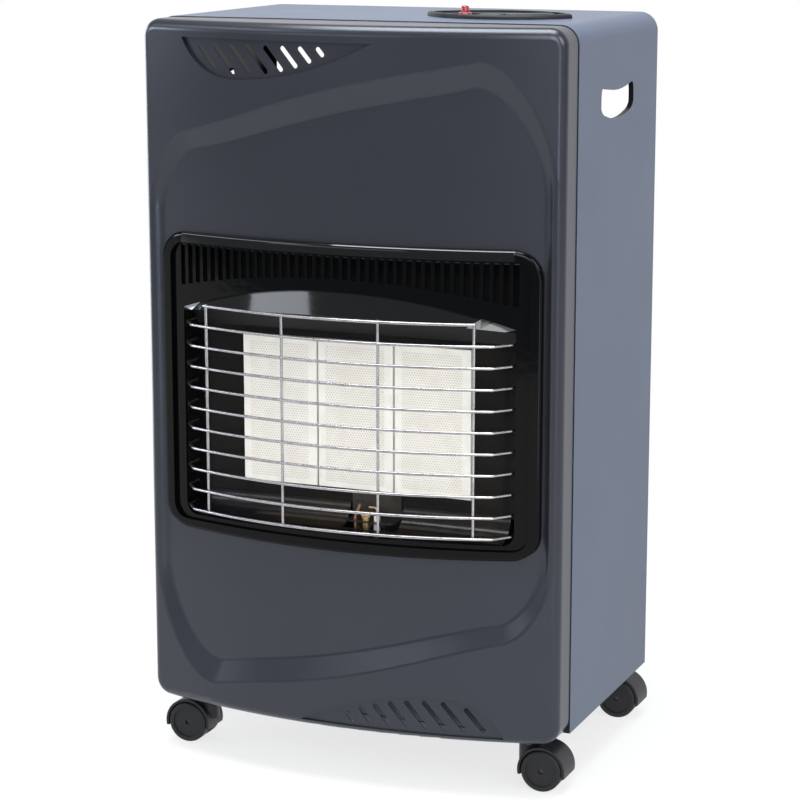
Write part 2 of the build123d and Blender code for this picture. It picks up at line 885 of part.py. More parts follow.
for burner_x, burner_name in zip(burner_xs, burner_names):
    with BuildPart() as plaque:
        box_between(
            (burner_x - plaque_half, plaque_face, plaque_bottom),
            (burner_x + plaque_half, plaque_face + plaque_thickness, plaque_top),
        )
    finish(plaque, "plaque_" + burner_name)

    with BuildPart() as plenum:
        box_between(
            (burner_x - plenum_half, plenum_front, plenum_foot),
            (burner_x + plenum_half, plenum_back, plenum_head),
        )
        with BuildSketch(Plane.XY.offset(mixer_mouth_z)):
            with Locations((burner_x, mixer_y)):
                Circle(mixer_bell / 2)
        with BuildSketch(Plane.XY.offset(mixer_mouth_z + mixer_bell_height)):
            with Locations((burner_x, mixer_y)):
                Circle(mixer_diameter / 2)
        loft()
        with Locations((burner_x, mixer_y, mixer_mouth_z + mixer_bell_height)):
            Cylinder(
                mixer_diameter / 2, plenum_foot - mixer_mouth_z - mixer_bell_height + plenum_wall,
                align=(Align.CENTER, Align.CENTER, Align.MIN),
            )
        with BuildSketch(Plane.XY.offset(mixer_mouth_z)):
            with Locations((burner_x, mixer_y)):
                Circle(mixer_bell / 2 - mixer_wall)
        with BuildSketch(Plane.XY.offset(mixer_mouth_z + mixer_bell_height)):
            with Locations((burner_x, mixer_y)):
                Circle(mixer_diameter / 2 - mixer_wall)
        loft(mode=Mode.SUBTRACT)
        with Locations((burner_x, mixer_y, mixer_mouth_z + mixer_bell_height)):
            Cylinder(
                mixer_diameter / 2 - mixer_wall, plenum_foot - mixer_mouth_z, mode=Mode.SUBTRACT,
                align=(Align.CENTER, Align.CENTER, Align.MIN),
            )
        box_between(
            (burner_x - plenum_half + plenum_wall, plenum_front - plenum_wall, plenum_foot + plenum_wall),
            (burner_x + plenum_half - plenum_wall, plenum_back - plenum_wall, plenum_head - plenum_wall),
            mode=Mode.SUBTRACT,
        )
    finish(plenum, "burner_" + burner_name)

# ---------------------------------------------------------------- reflectors and heat shield

opening_inner_half = opening_half_width - reflector_side_clearance
burner_bank_half = plaque_pitch * plaque_count / 2 + plenum_gap

with BuildPart() as reflector_frame:
    box_between(
        (-opening_inner_half, frame_y, reflector_frame_bottom),
        (opening_inner_half, frame_y + reflector, reflector_top_z),
    )
    box_between(
        (-burner_bank_half, frame_y - reflector, plenum_foot - plenum_gap),
        (burner_bank_half, frame_y + 2 * reflector, plenum_head + plenum_gap),
        mode=Mode.SUBTRACT,
    )
finish(reflector_frame, "reflector_frame")

cheek_front = lip_back - reflector
cheek_foot = opening_bottom + opening_corner + 2 * reflector
with BuildPart() as cheeks:
    for cheek_x in (-opening_inner_half, opening_inner_half - reflector):
        box_between(
            (cheek_x, cheek_front, cheek_foot),
            (cheek_x + reflector, frame_y - seat_clearance, opening_end_z),
        )
finish(cheeks, "reflector_cheeks")

sheet_half = opening_inner_half - reflector - side_play

with BuildPart() as canopy:
    with BuildSketch(Plane.YZ.offset(-sheet_half)):
        front = (lip_back, opening_end_z + opening_rise - opening_lip - seat_clearance)
        rear = (frame_y - seat_clearance, canopy_rear_z)
        with BuildLine():
            Polyline(
                front, rear, (rear[0], rear[1] - reflector), (front[0], front[1] - reflector), close=True
            )
        make_face()
    extrude(amount=2 * sheet_half)
finish(canopy, "reflector_canopy")

with BuildPart() as deflector:
    deflector_half = opening_half_width - opening_corner
    with BuildSketch(Plane.YZ.offset(-deflector_half)):
        front = (lip_back - deflector_overhang, opening_bottom + seat_clearance)
        rear = (frame_y - seat_clearance, reflector_frame_bottom + deflector_overlap)
        with BuildLine():
            TangentArc(front, rear, tangent=(1, 0))
            Line(rear, (rear[0] - reflector, rear[1]))
            TangentArc((front[0], front[1] + reflector), (rear[0] - reflector, rear[1]), tangent=(1, 0))
            Line((front[0], front[1] + reflector), front)
        make_face()
    extrude(amount=2 * deflector_half)
    box_between(
        (bracket_left - notch_play, side_front - bracket_front_reach, opening_bottom),
        (bracket_right + notch_play, frame_y, bracket_tab_top),
        mode=Mode.SUBTRACT,
    )
finish(deflector, "reflector_deflector")

shield_half = half_cabinet - sheet - side_play

with BuildPart() as shield:
    box_between((-shield_half, shield_y, shield_bottom), (shield_half, shield_y + shield_flange, shield_top))
    box_between(
        (-shield_half + sheet, shield_y + sheet, shield_bottom - sheet),
        (shield_half - sheet, shield_y + 2 * shield_flange, shield_top + sheet),
        mode=Mode.SUBTRACT,
    )
    with BuildSketch(front_plane(shield_y)):
        with Locations(*[(x, injector_level) for x in burner_xs]):
            Circle(shield_hole / 2)
        with Locations(((shield_window_left + shield_window_right) / 2,
                        (shield_window_bottom + shield_window_top) / 2)):
            Rectangle(shield_window_right - shield_window_left, shield_window_top - shield_window_bottom)
        with Locations((0, shield_top - shield_vent_drop - shield_vent_pitch * (shield_vent_count - 1) / 2)):
            with GridLocations(2 * plaque_pitch, shield_vent_pitch, 2, shield_vent_count):
                Rectangle(shield_vent_length, shield_vent_height)
    extrude(amount=-2 * sheet, mode=Mode.SUBTRACT)
    with Locations(*[Location((x, shield_y + sheet, z), (90, 0, 0)) for x in screw_xs for z in rail_heights]):
        Cylinder(screw_shank / 2 + screw_hole_play, 3 * sheet, mode=Mode.SUBTRACT)
finish(shield, "heat_shield")

with BuildPart() as rails:
    for rail_z in rail_heights:
        low = rail_z - rail_height / 2
        high = rail_z + rail_height / 2
        box_between(
            (-rail_half, plenum_back + seat_clearance, low),
            (rail_half, shield_y - seat_clearance, high),
        )
        box_between(
            (-rail_half - sheet, plenum_back + seat_clearance + rail_sheet, low - sheet),
            (rail_half + sheet, shield_y - seat_clearance - rail_sheet, high - rail_sheet),
            mode=Mode.SUBTRACT,
        )
    with Locations(*[Location((x, shield_y, z), (90, 0, 0)) for x in screw_xs for z in rail_heights]):
        Cylinder(screw_shank / 2 + screw_hole_play, 4 * rail_sheet, mode=Mode.SUBTRACT)
finish(rails, "burner_rails")

with BuildPart() as rail_screws:
    with Locations(*[
        Location((x, shield_y + sheet + seat_clearance, z), (90, 0, 0))
        for x in screw_xs
        for z in rail_heights
    ]):
        Cylinder(screw_shank / 2, screw_length, align=(Align.CENTER, Align.CENTER, Align.MIN))
        Cylinder(screw_head / 2, screw_head_height, align=(Align.CENTER, Align.CENTER, Align.MAX))
finish(rail_screws, "rail_screws")

# ---------------------------------------------------------------- gas train


def vertical_cylinder(x, y, low, high, diameter, mode=Mode.ADD):
    """A round upright of the part that is being built, from low to high."""
    with Locations((x, y, low)):
        Cylinder(diameter / 2, high - low, align=(Align.CENTER, Align.CENTER, Align.MIN), mode=mode)


def bent_tube(points, bend, diameter):
    """A tube through points with rounded bends."""
    with BuildPart() as tube:
        with BuildLine() as path:
            FilletPolyline(*points, radius=bend)
        with BuildSketch(Plane(origin=path.line @ 0, z_dir=path.line % 0)):
            Circle(diameter / 2)
        sweep()
    return tube


valve_top = hanger_base_z - seat_clearance
outlet_xs = {
    "right": valve_x - outlet_pitch,
    "center": valve_x,
    "left": valve_x + outlet_pitch,
    "pilot": pilot_outlet_x,
}
inlet_y = valve_y + valve_depth / 2
inlet_z = (valve_bottom + valve_top) / 2
outlet_z = valve_bottom - outlet_height - pipe_joint

with BuildPart() as valve:
    box_between(
        (valve_x - valve_width / 2, valve_y - valve_depth / 2, valve_bottom),
        (valve_x + valve_width / 2, valve_y + valve_depth / 2, valve_top),
    )
    fillet(valve.edges().filter_by(Axis.Z), sheet)
    vertical_cylinder(valve_x, valve_y, valve_top, valve_neck_top, valve_neck)
    for outlet_x in outlet_xs.values():
        vertical_cylinder(outlet_x, valve_y, valve_bottom - outlet_height, valve_bottom, outlet_diameter)
    with BuildSketch(Plane(origin=(valve_x, inlet_y, inlet_z), x_dir=(1, 0, 0), z_dir=(0, 1, 0))):
        RegularPolygon(inlet_nut / 2, 6, major_radius=False)
        Circle(inlet_spigot / 2 + seat_clearance / 2, mode=Mode.SUBTRACT)
    extrude(amount=inlet_nut_length)
    vertical_cylinder(
        valve_x, valve_y, rotor_bottom - rotor_play, rotor_bottom + rotor_height + rotor_play,
        rotor_diameter + 2 * rotor_play, mode=Mode.SUBTRACT,
    )
    vertical_cylinder(
        valve_x, valve_y, stem_well_bottom, valve_neck_top, stem_diameter + 2 * running_clearance,
        mode=Mode.SUBTRACT,
    )
finish(valve, "gas_valve")

roof_underside = cabinet_top - sheet - seat_clearance

with BuildPart() as hanger:
    low_y = valve_y - hanger_width / 2
    high_y = valve_y + hanger_width / 2
    hanger_web = hanger_half_span - hanger_foot
    box_between(
        (valve_x - hanger_web, low_y, hanger_base_z),
        (valve_x + hanger_web, high_y, hanger_base_z + hanger_sheet),
    )
    for side in (-1, 1):
        web_x = valve_x + side * (hanger_web - hanger_sheet / 2)
        foot_x = valve_x + side * (hanger_half_span - hanger_foot / 2)
        box_between(
            (web_x - hanger_sheet / 2, low_y, hanger_base_z),
            (web_x + hanger_sheet / 2, high_y, roof_underside),
        )
        box_between(
            (foot_x - hanger_foot / 2 - hanger_sheet / 2, low_y, roof_underside - hanger_sheet),
            (foot_x + hanger_foot / 2 + hanger_sheet / 2, high_y, roof_underside),
        )
    vertical_cylinder(
        valve_x, valve_y, hanger_base_z - sheet, valve_neck_top, valve_neck + 2 * seat_clearance,
        mode=Mode.SUBTRACT,
    )
finish(hanger, "valve_hanger")

with BuildPart() as valve_lock:
    with BuildSketch(Plane.XY.offset(hanger_base_z + hanger_sheet + seat_clearance)):
        with Locations((valve_x, valve_y)):
            RegularPolygon(valve_nut / 2, 6, major_radius=False)
            Circle(valve_neck / 2 + seat_clearance / 2, mode=Mode.SUBTRACT)
    extrude(amount=valve_nut_height)
finish(valve_lock, "valve_nut")


def stem_section(grow):
    """The D-shaped section of the valve stem, grown all round by grow."""
    with BuildSketch() as section:
        with Locations((valve_x, valve_y)):
            Circle(stem_diameter / 2 + grow)
        with Locations((valve_x, valve_y + stem_flat + grow)):
            Rectangle(
                2 * stem_diameter, stem_diameter, align=(Align.CENTER, Align.MIN), mode=Mode.SUBTRACT
            )
    return section.sketch


with BuildPart() as rotor:
    vertical_cylinder(valve_x, valve_y, rotor_bottom, rotor_bottom + rotor_height, rotor_diameter)
    with BuildSketch(Plane.XY.offset(rotor_bottom)):
        add(stem_section(running_clearance))
    extrude(amount=rotor_height, mode=Mode.SUBTRACT)
finish(rotor, "valve_rotor")

with BuildPart() as stem:
    with BuildSketch(Plane.XY.offset(stem_bottom)):
        add(stem_section(0))
    extrude(amount=stem_flat_top - stem_bottom)
    vertical_cylinder(valve_x, valve_y, stem_flat_top, stem_top, stem_diameter)
finish(stem, "valve_stem")

with BuildPart() as inlet:
    inlet_start = (valve_x, inlet_y + seat_clearance, inlet_z)
    with BuildSketch(Plane(origin=inlet_start, x_dir=(1, 0, 0), z_dir=(0, 1, 0))):
        Circle(inlet_spigot / 2)
    extrude(amount=inlet_nut_length)
    with BuildSketch(inlet.faces().sort_by(Axis.Y)[-1]):
        Circle(inlet_diameter / 2)
    extrude(amount=inlet_length)
    chamfer(inlet.faces().sort_by(Axis.Y)[-1].edges(), inlet_chamfer)
    with BuildSketch(inlet.faces().sort_by(Axis.Y)[-1]):
        Circle(inlet_bore / 2)
    extrude(amount=-inlet_nut_length - inlet_length, mode=Mode.SUBTRACT)
finish(inlet, "gas_inlet")

port_y = mixer_y + injector_flats / 2 + injector_port_length + pipe_joint

for index in range(plaque_count):
    pipe_x = outlet_xs[burner_names[index]]
    level = injector_level - pipe_level_step * (plaque_count - 1 - index)
    corners = [
        (pipe_x, valve_y, outlet_z),
        (pipe_x, valve_y, pipe_drop_z),
        (pipe_x, pipe_y, pipe_turn_z),
        (pipe_x, pipe_y, level),
        (burner_xs[index], pipe_y, level),
        (burner_xs[index], port_y, injector_level),
    ]
    if level < injector_level:
        corners.insert(-1, (burner_xs[index], pipe_y, injector_level))
    finish(bent_tube(corners, pipe_bend, pipe_diameter), "gas_pipe_" + burner_names[index])

pilot_port_y = pilot_y + pilot_diameter / 2 + pipe_joint
pilot_route = [
    (pilot_outlet_x, valve_y, outlet_z),
    (pilot_outlet_x, valve_y, pipe_drop_z),
    (pilot_outlet_x, pipe_y, pipe_turn_z),
    (pilot_outlet_x, pipe_y, pilot_level),
    (pilot_x, pipe_y, pilot_level),
    (pilot_x, pilot_port_y, pilot_level),
]
finish(bent_tube(pilot_route, pipe_bend, pilot_pipe_diameter), "pilot_pipe")

with BuildPart() as injectors:
    for x in burner_xs:
        half = injector_flats / 2
        box_between(
            (x - half, mixer_y - half, injector_bottom), (x + half, mixer_y + half, injector_shoulder_z)
        )
        vertical_cylinder(x, mixer_y, injector_shoulder_z, injector_tip_z, injector_nozzle)
        vertical_cylinder(
            x, mixer_y, injector_shoulder_z, injector_tip_z, injector_jet, mode=Mode.SUBTRACT
        )
        with Locations(Location((x, mixer_y + half, injector_level), (-90, 0, 0))):
            Cylinder(
                injector_port / 2, injector_port_length, align=(Align.CENTER, Align.CENTER, Align.MIN)
            )
finish(injectors, "injectors")

with BuildPart() as injector_rail:
    rail_back = shield_y - seat_clearance
    rail_base = injector_rail_z
    box_between(
        (-injector_rail_half, side_front - injector_rail_reach, rail_base),
        (injector_rail_half, rail_back, rail_base + injector_rail_sheet),
    )
    for tab_x in (-injector_tab_x, injector_tab_x):
        box_between(
            (tab_x - injector_tab_width / 2, rail_back - injector_rail_sheet, rail_base),
            (tab_x + injector_tab_width / 2, rail_back, rail_base + injector_tab_height),
        )
finish(injector_rail, "injector_rail")

# ---------------------------------------------------------------- pilot light group

with BuildPart() as bracket:
    tab_y = frame_y - seat_clearance
    box_between(
        (bracket_left, side_front - bracket_front_reach, bracket_z),
        (bracket_right, tab_y, bracket_z + bracket_sheet),
    )
    fillet(bracket.edges().filter_by(Axis.Z).group_by(Axis.Y)[0], bracket_corner)
    box_between((bracket_left, tab_y - bracket_sheet, bracket_z), (bracket_right, tab_y, bracket_tab_top))
    for hole_x, hole in ((pilot_x, pilot_diameter), (sensor_x, sensor_diameter), (spark_x, spark_ceramic)):
        vertical_cylinder(
            hole_x, pilot_y, bracket_z - sheet, bracket_z + 2 * bracket_sheet, hole + bracket_play,
            mode=Mode.SUBTRACT,
        )
finish(bracket, "pilot_bracket")

with BuildPart() as pilot:
    vertical_cylinder(pilot_x, pilot_y, pilot_bottom, pilot_top, pilot_diameter)
    vertical_cylinder(pilot_x, pilot_y, pilot_top - pilot_hood_height, pilot_top, pilot_hood)
    fillet(pilot.faces().sort_by(Axis.Z)[-1].edges(), bracket_sheet)
    box_between(
        (pilot_x - pilot_hood, pilot_y - pilot_hood, pilot_top - pilot_hood_height + bracket_sheet),
        (pilot_x + pilot_hood, pilot_y - pilot_hood_mouth, pilot_top - bracket_sheet),
        mode=Mode.SUBTRACT,
    )
finish(pilot, "pilot_burner")

lead_y = side_front + lead_setback
sensor_foot = (sensor_x, pilot_y, sensor_bottom)
sensor_route = [sensor_foot, (sensor_x, pilot_y, sensor_knee_z), (sensor_tip_x, pilot_y, sensor_tip_z)]
capillary_route = [
    sensor_foot,
    (sensor_x, pilot_y, capillary_level),
    (capillary_x, pilot_y, capillary_level),
    (capillary_x, lead_y, capillary_level),
    (capillary_x, lead_y, capillary_top_z),
    (capillary_turn_x, lead_y, capillary_top_z),
    (capillary_end_x, valve_y, capillary_top_z),
    (valve_x - valve_width / 2 - pipe_joint, valve_y, capillary_top_z),
]
with BuildPart() as sensor:
    add(bent_tube(sensor_route, spark_bend, sensor_diameter).part)
    add(bent_tube(capillary_route, capillary_bend, capillary_diameter).part)
finish(sensor, "flame_sensor")

with BuildPart() as spark_holder:
    vertical_cylinder(spark_x, pilot_y, spark_ceramic_bottom, spark_ceramic_top, spark_ceramic)
    fillet(spark_holder.faces().sort_by(Axis.Z)[-1].edges(), bracket_sheet)
finish(spark_holder, "spark_insulator")

spark_route = [
    (spark_x, pilot_y, spark_ceramic_top),
    (spark_x, pilot_y, spark_knee_z),
    (spark_tip_x, pilot_y, spark_knee_z),
]
finish(bent_tube(spark_route, spark_bend, spark_wire), "spark_wire")

lead_route = [
    (button_x, control_y, igniter_bottom - igniter_terminal_length - pipe_joint),
    (button_x, control_y, lead_rise_z),
    (button_x, lead_y, pipe_turn_z),
    (button_x, lead_y, lead_level),
    (spark_x, lead_y, lead_level),
    (spark_x, pilot_y, lead_level),
    (spark_x, pilot_y, spark_ceramic_bottom - pipe_joint),
]
finish(bent_tube(lead_route, lead_bend, lead_diameter), "ignition_lead")

with BuildPart() as clips:
    for z in clip_heights:
        box_between(
            (clip_left, shield_y + sheet + seat_clearance, z - clip_height / 2),
            (clip_right, side_front + clip_setback, z + clip_height / 2),
        )
    held = [(outlet_xs[name], pipe_y, pipe_diameter) for name in burner_names]
    held.append((pilot_outlet_x, pipe_y, pilot_pipe_diameter))
    held.append((button_x, lead_y, lead_diameter))
    held.append((capillary_x, lead_y, capillary_diameter))
    for x, y, held_diameter in held:
        vertical_cylinder(
            x, y, clip_heights[0] - clip_height, clip_heights[1] + clip_height,
            held_diameter + 2 * seat_clearance, mode=Mode.SUBTRACT,
        )
finish(clips, "pipe_clips")

# ---------------------------------------------------------------- controls in the roof

with BuildPart() as bezel:
    with BuildSketch(Plane.XY.offset(cabinet_top + seat_clearance)):
        with Locations((bezel_x, control_y)):
            add(bezel_outline(0))
    extrude(amount=bezel_height)
    fillet(bezel.faces().sort_by(Axis.Z)[-1].edges(), bezel_round)
    with BuildSketch(Plane.XY.offset(cabinet_top + bezel_height - bezel_wall)):
        with Locations((bezel_x, control_y)):
            add(bezel_outline(bezel_height + bezel_wall))
    extrude(amount=bezel_height, mode=Mode.SUBTRACT)
    for cup_x, cup in ((valve_x, dish_diameter), (button_x, well_diameter)):
        vertical_cylinder(
            cup_x, control_y, bezel_floor_z - bezel_wall, cabinet_top + bezel_height - bezel_wall,
            cup + 2 * bezel_wall,
        )
    for cup_x, cup, hole in ((valve_x, dish_diameter, boss_hole),
                             (button_x, well_diameter, igniter_diameter + bezel_hole_play)):
        vertical_cylinder(
            cup_x, control_y, bezel_floor_z, cabinet_top + 2 * bezel_height, cup, mode=Mode.SUBTRACT
        )
        vertical_cylinder(
            cup_x, control_y, bezel_floor_z - 2 * bezel_wall, bezel_floor_z + bezel_wall, hole, Mode.SUBTRACT
        )
finish(bezel, "control_bezel")

with BuildPart() as knob:
    disc_top = knob_underside_z + knob_disc
    vertical_cylinder(valve_x, valve_y, knob_underside_z, disc_top, knob_diameter)
    fillet(knob.faces().sort_by(Axis.Z)[-1].edges(), knob_edge)
    with BuildSketch(Plane.XY.offset(disc_top - knob_edge)):
        with Locations(Location((valve_x, valve_y), knob_turn)):
            RectangleRounded(knob_grip_length, knob_grip_width, knob_grip_corner)
    extrude(amount=knob_grip_height + knob_edge, taper=knob_grip_taper)
    fillet(knob.faces().sort_by(Axis.Z)[-1].edges(), knob_grip_round)
    vertical_cylinder(valve_x, valve_y, knob_underside_z - knob_boss_drop, knob_underside_z, knob_boss)
    vertical_cylinder(
        valve_x, valve_y, knob_underside_z - knob_boss_drop, stem_top + seat_clearance,
        stem_diameter + seat_clearance, mode=Mode.SUBTRACT,
    )
finish(knob, "control_knob")

with BuildPart() as button:
    vertical_cylinder(button_x, control_y, button_underside_z, button_top_z, button_diameter)
    fillet(button.faces().sort_by(Axis.Z)[-1].edges(), button_round)
    vertical_cylinder(button_x, control_y, button_shank_bottom, button_underside_z, button_shank)
finish(button, "igniter_button")

with BuildPart() as igniter:
    collar_z = bezel_floor_z + seat_clearance
    vertical_cylinder(button_x, control_y, igniter_bottom, collar_z, igniter_diameter)
    vertical_cylinder(button_x, control_y, collar_z, collar_z + igniter_collar_height, igniter_collar)
    vertical_cylinder(
        button_x, control_y, igniter_bottom - igniter_terminal_length, igniter_bottom, igniter_terminal
    )
    vertical_cylinder(
        button_x, control_y, igniter_bore_bottom, button_underside_z, button_shank + 2 * button_play,
        mode=Mode.SUBTRACT,
    )
finish(igniter, "piezo_igniter")

with BuildPart() as igniter_lock:
    nut_top = bezel_floor_z - bezel_wall - seat_clearance
    vertical_cylinder(button_x, control_y, nut_top - igniter_nut_height, nut_top, igniter_nut)
    vertical_cylinder(
        button_x, control_y, nut_top - igniter_nut_height, nut_top, igniter_diameter + seat_clearance,
        mode=Mode.SUBTRACT,
    )
finish(igniter_lock, "igniter_nut")

# ---------------------------------------------------------------- base tray and rear cover


def tray_outline(inset):
    """Plan of the base tray, drawn in by inset: a square front, full-width sides and a tapered tail."""
    wide = half_cabinet - sheet - tray_side_play
    with BuildSketch() as outline:
        with BuildLine():
            Polyline(
                (-tray_front_half, side_front - tray_front_reach),
                (tray_front_half, side_front - tray_front_reach),
                (tray_front_half, side_front + sheet + tray_side_play),
                (wide, side_front + sheet + tray_side_play),
                (wide, side_rear - sheet - tray_side_play),
                (tray_shoulder_half, side_rear - sheet - tray_side_play),
                (tray_shoulder_half, side_rear),
                (tray_tail_half, side_front + tray_tail_reach),
                (-tray_tail_half, side_front + tray_tail_reach),
                (-tray_shoulder_half, side_rear),
                (-tray_shoulder_half, side_rear - sheet - tray_side_play),
                (-wide, side_rear - sheet - tray_side_play),
                (-wide, side_front + sheet + tray_side_play),
                (-tray_front_half, side_front + sheet + tray_side_play),
                close=True,
            )
        make_face()
        fillet(outline.vertices().group_by(Axis.Y)[-1], tray_tail_corner)
        if inset:
            offset(amount=-inset)
    return outline.sketch


castor_ys = (side_front + castor_front_setback, side_front + castor_rear_setback)
tray_floor = side_bottom + tray_sheet

with BuildPart() as tray:
    with BuildSketch(Plane.XY.offset(side_bottom)):
        add(tray_outline(0))
    extrude(amount=tray_lip)
    with BuildSketch(Plane.XY.offset(tray_floor)):
        add(tray_outline(tray_sheet))
    extrude(amount=tray_lip, mode=Mode.SUBTRACT)
    with BuildSketch(Plane.XY.offset(tray_floor)):
        with Locations((0, side_front + ring_setback)):
            Circle(ring_radius + ring_width / 2)
            Circle(ring_radius - ring_width / 2, mode=Mode.SUBTRACT)
    extrude(amount=ring_height)
    for x in (-castor_stem_x, castor_stem_x):
        for y in castor_ys:
            vertical_cylinder(
                x, y, side_bottom - sheet, side_bottom + tray_lip, socket_diameter + 2 * seat_clearance,
                mode=Mode.SUBTRACT,
            )
finish(tray, "base_tray")

with BuildPart() as sockets:
    flange_z = side_bottom - seat_clearance - socket_flange_sheet
    for x in (-castor_stem_x, castor_stem_x):
        for y in castor_ys:
            vertical_cylinder(x, y, flange_z, flange_z + socket_flange_sheet, socket_flange)
            vertical_cylinder(x, y, flange_z, socket_top, socket_diameter)
            vertical_cylinder(
                x, y, flange_z, castor_stem_top + sheet, castor_stem + 2 * running_clearance,
                mode=Mode.SUBTRACT,
            )
finish(sockets, "castor_sockets")


def cover_outline(inset):
    """Plan of the rear cover, drawn in by inset: it follows the tray's tail and goes on to its own back."""
    slant = Vector(tray_tail_half - tray_shoulder_half, side_front + tray_tail_reach - side_rear).normalized()
    outward = Vector(slant.Y, -slant.X)
    start = Vector(tray_shoulder_half, side_rear) + outward * (cover_play + sheet - inset)
    back_y = side_front + cover_reach - inset
    mouth = start + slant * ((side_rear + seat_clearance - start.Y) / slant.Y)
    tail = start + slant * ((back_y - start.Y) / slant.Y)
    front_y = mouth.Y - inset * sheet
    with BuildSketch() as outline:
        with BuildLine():
            Polyline(
                (-mouth.X, front_y), (mouth.X, mouth.Y), (tail.X, tail.Y),
                (-tail.X, tail.Y), (-mouth.X, mouth.Y),
                close=True,
            )
        make_face()
        fillet(outline.vertices().group_by(Axis.Y)[-1], cover_corner - inset)
    return outline.sketch


with BuildPart() as cover:
    with BuildSketch(Plane.XY.offset(cover_bottom)):
        add(cover_outline(0))
    extrude(amount=cover_top - cover_bottom)
    flange_y = side_rear + seat_clearance
    box_between(
        (-cover_flange_half, flange_y, cover_bottom), (cover_flange_half, flange_y + sheet, cover_top)
    )
    with BuildSketch(Plane.XY.offset(cover_bottom)):
        add(cover_outline(sheet))
        with Locations((0, flange_y)):
            Rectangle(2 * tray_shoulder_half, 4 * sheet)
    extrude(amount=cover_top - cover_bottom - cover_hem_height, mode=Mode.SUBTRACT)
    with BuildSketch(Plane.XY.offset(cover_top - cover_hem_height)):
        add(cover_outline(2 * sheet))
        with Locations((0, flange_y)):
            Rectangle(2 * tray_shoulder_half, 4 * sheet)
    extrude(amount=cover_hem_height, mode=Mode.SUBTRACT)
    with BuildSketch(front_plane(side_front + cover_reach - tray_tail_corner)):
        for vent_z in (cover_vent_low_z, cover_vent_high_z):
            with Locations((0, vent_z)):
                with GridLocations(2 * cover_vent_spread, cover_vent_pitch, 2, cover_vent_count):
                    SlotOverall(cover_vent_length, cover_vent_height)
    extrude(amount=-2 * tray_tail_corner, mode=Mode.SUBTRACT)
    with Locations(*[Location((x, flange_y, z), (90, 0, 0))
                     for x in (-half_cabinet + stud_inset, half_cabinet - stud_inset)
                     for z in (stud_low_z, stud_high_z)]):
        Cylinder(stud_diameter / 2 + stud_hole_play, 4 * sheet, mode=Mode.SUBTRACT)
finish(cover, "rear_cover")

# ---------------------------------------------------------------- castors


def across(x, y, z, diameter, length, mode=Mode.ADD):
    """A round bar along Y in the part that is being built, centred on (x, y, z)."""
    with Locations(Location((x, y, z), (90, 0, 0))):
        Cylinder(diameter / 2, length, mode=mode)


def castor_frame(stem_x, stem_y, wheel_x):
    """The hood, web, neck and stem of one twin-wheel castor."""
    room = wheel_radius + hood_play
    with BuildPart() as frame:
        across(wheel_x, stem_y, wheel_radius, 2 * (room + hood_thickness), 2 * hood_half)
        vertical_cylinder(stem_x, stem_y, neck_foot, neck_top, neck_diameter)
        fillet(frame.faces().sort_by(Axis.Z)[-1].edges(), hood_play)
        for side in (-1, 1):
            across(
                wheel_x, stem_y + side * (web_half + hood_half), wheel_radius, 2 * room, 2 * hood_half,
                mode=Mode.SUBTRACT,
            )
        reach = room + hood_thickness + neck_diameter
        box_between(
            (wheel_x - reach, stem_y - 2 * hood_half, wheel_radius - reach),
            (wheel_x + reach, stem_y + 2 * hood_half, wheel_radius - hood_skirt_drop),
            mode=Mode.SUBTRACT,
        )
        across(
            wheel_x, stem_y, wheel_radius, axle_diameter + seat_clearance, 4 * web_half,
            mode=Mode.SUBTRACT,
        )
        vertical_cylinder(stem_x, stem_y, neck_top - hood_play, castor_stem_top, castor_stem)
    return frame


def castor_wheel(wheel_x, stem_y, side):
    """One of a castor's two wheels: a rounded tread with a dished outer face."""
    inner = web_half + wheel_gap
    middle = stem_y + side * (inner + wheel_width / 2)
    with BuildPart() as wheel:
        across(wheel_x, middle, wheel_radius, 2 * wheel_radius, wheel_width)
        fillet(wheel.edges(), wheel_edge_round)
        across(
            wheel_x, stem_y + side * (inner + wheel_width), wheel_radius,
            2 * (wheel_radius - 2 * wheel_edge_round), 2 * wheel_dish, mode=Mode.SUBTRACT,
        )
        across(
            wheel_x, middle, wheel_radius, axle_diameter + 2 * running_clearance, 2 * wheel_width,
            mode=Mode.SUBTRACT,
        )
    return wheel


for along, stem_y in zip(("front", "rear"), castor_ys):
    for across_name, side in (("left", -1), ("right", 1)):
        place = along + "_" + across_name
        stem_x = side * castor_stem_x
        wheel_x = side * (castor_stem_x + castor_trail)
        finish(castor_frame(stem_x, stem_y, wheel_x), "castor_" + place)
        with BuildPart() as axle:
            across(wheel_x, stem_y, wheel_radius, axle_diameter, 2 * axle_half)
        finish(axle, "axle_" + place)
        finish(castor_wheel(wheel_x, stem_y, -1), "wheel_" + place + "_fore")
        finish(castor_wheel(wheel_x, stem_y, 1), "wheel_" + place + "_aft")
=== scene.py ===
import math

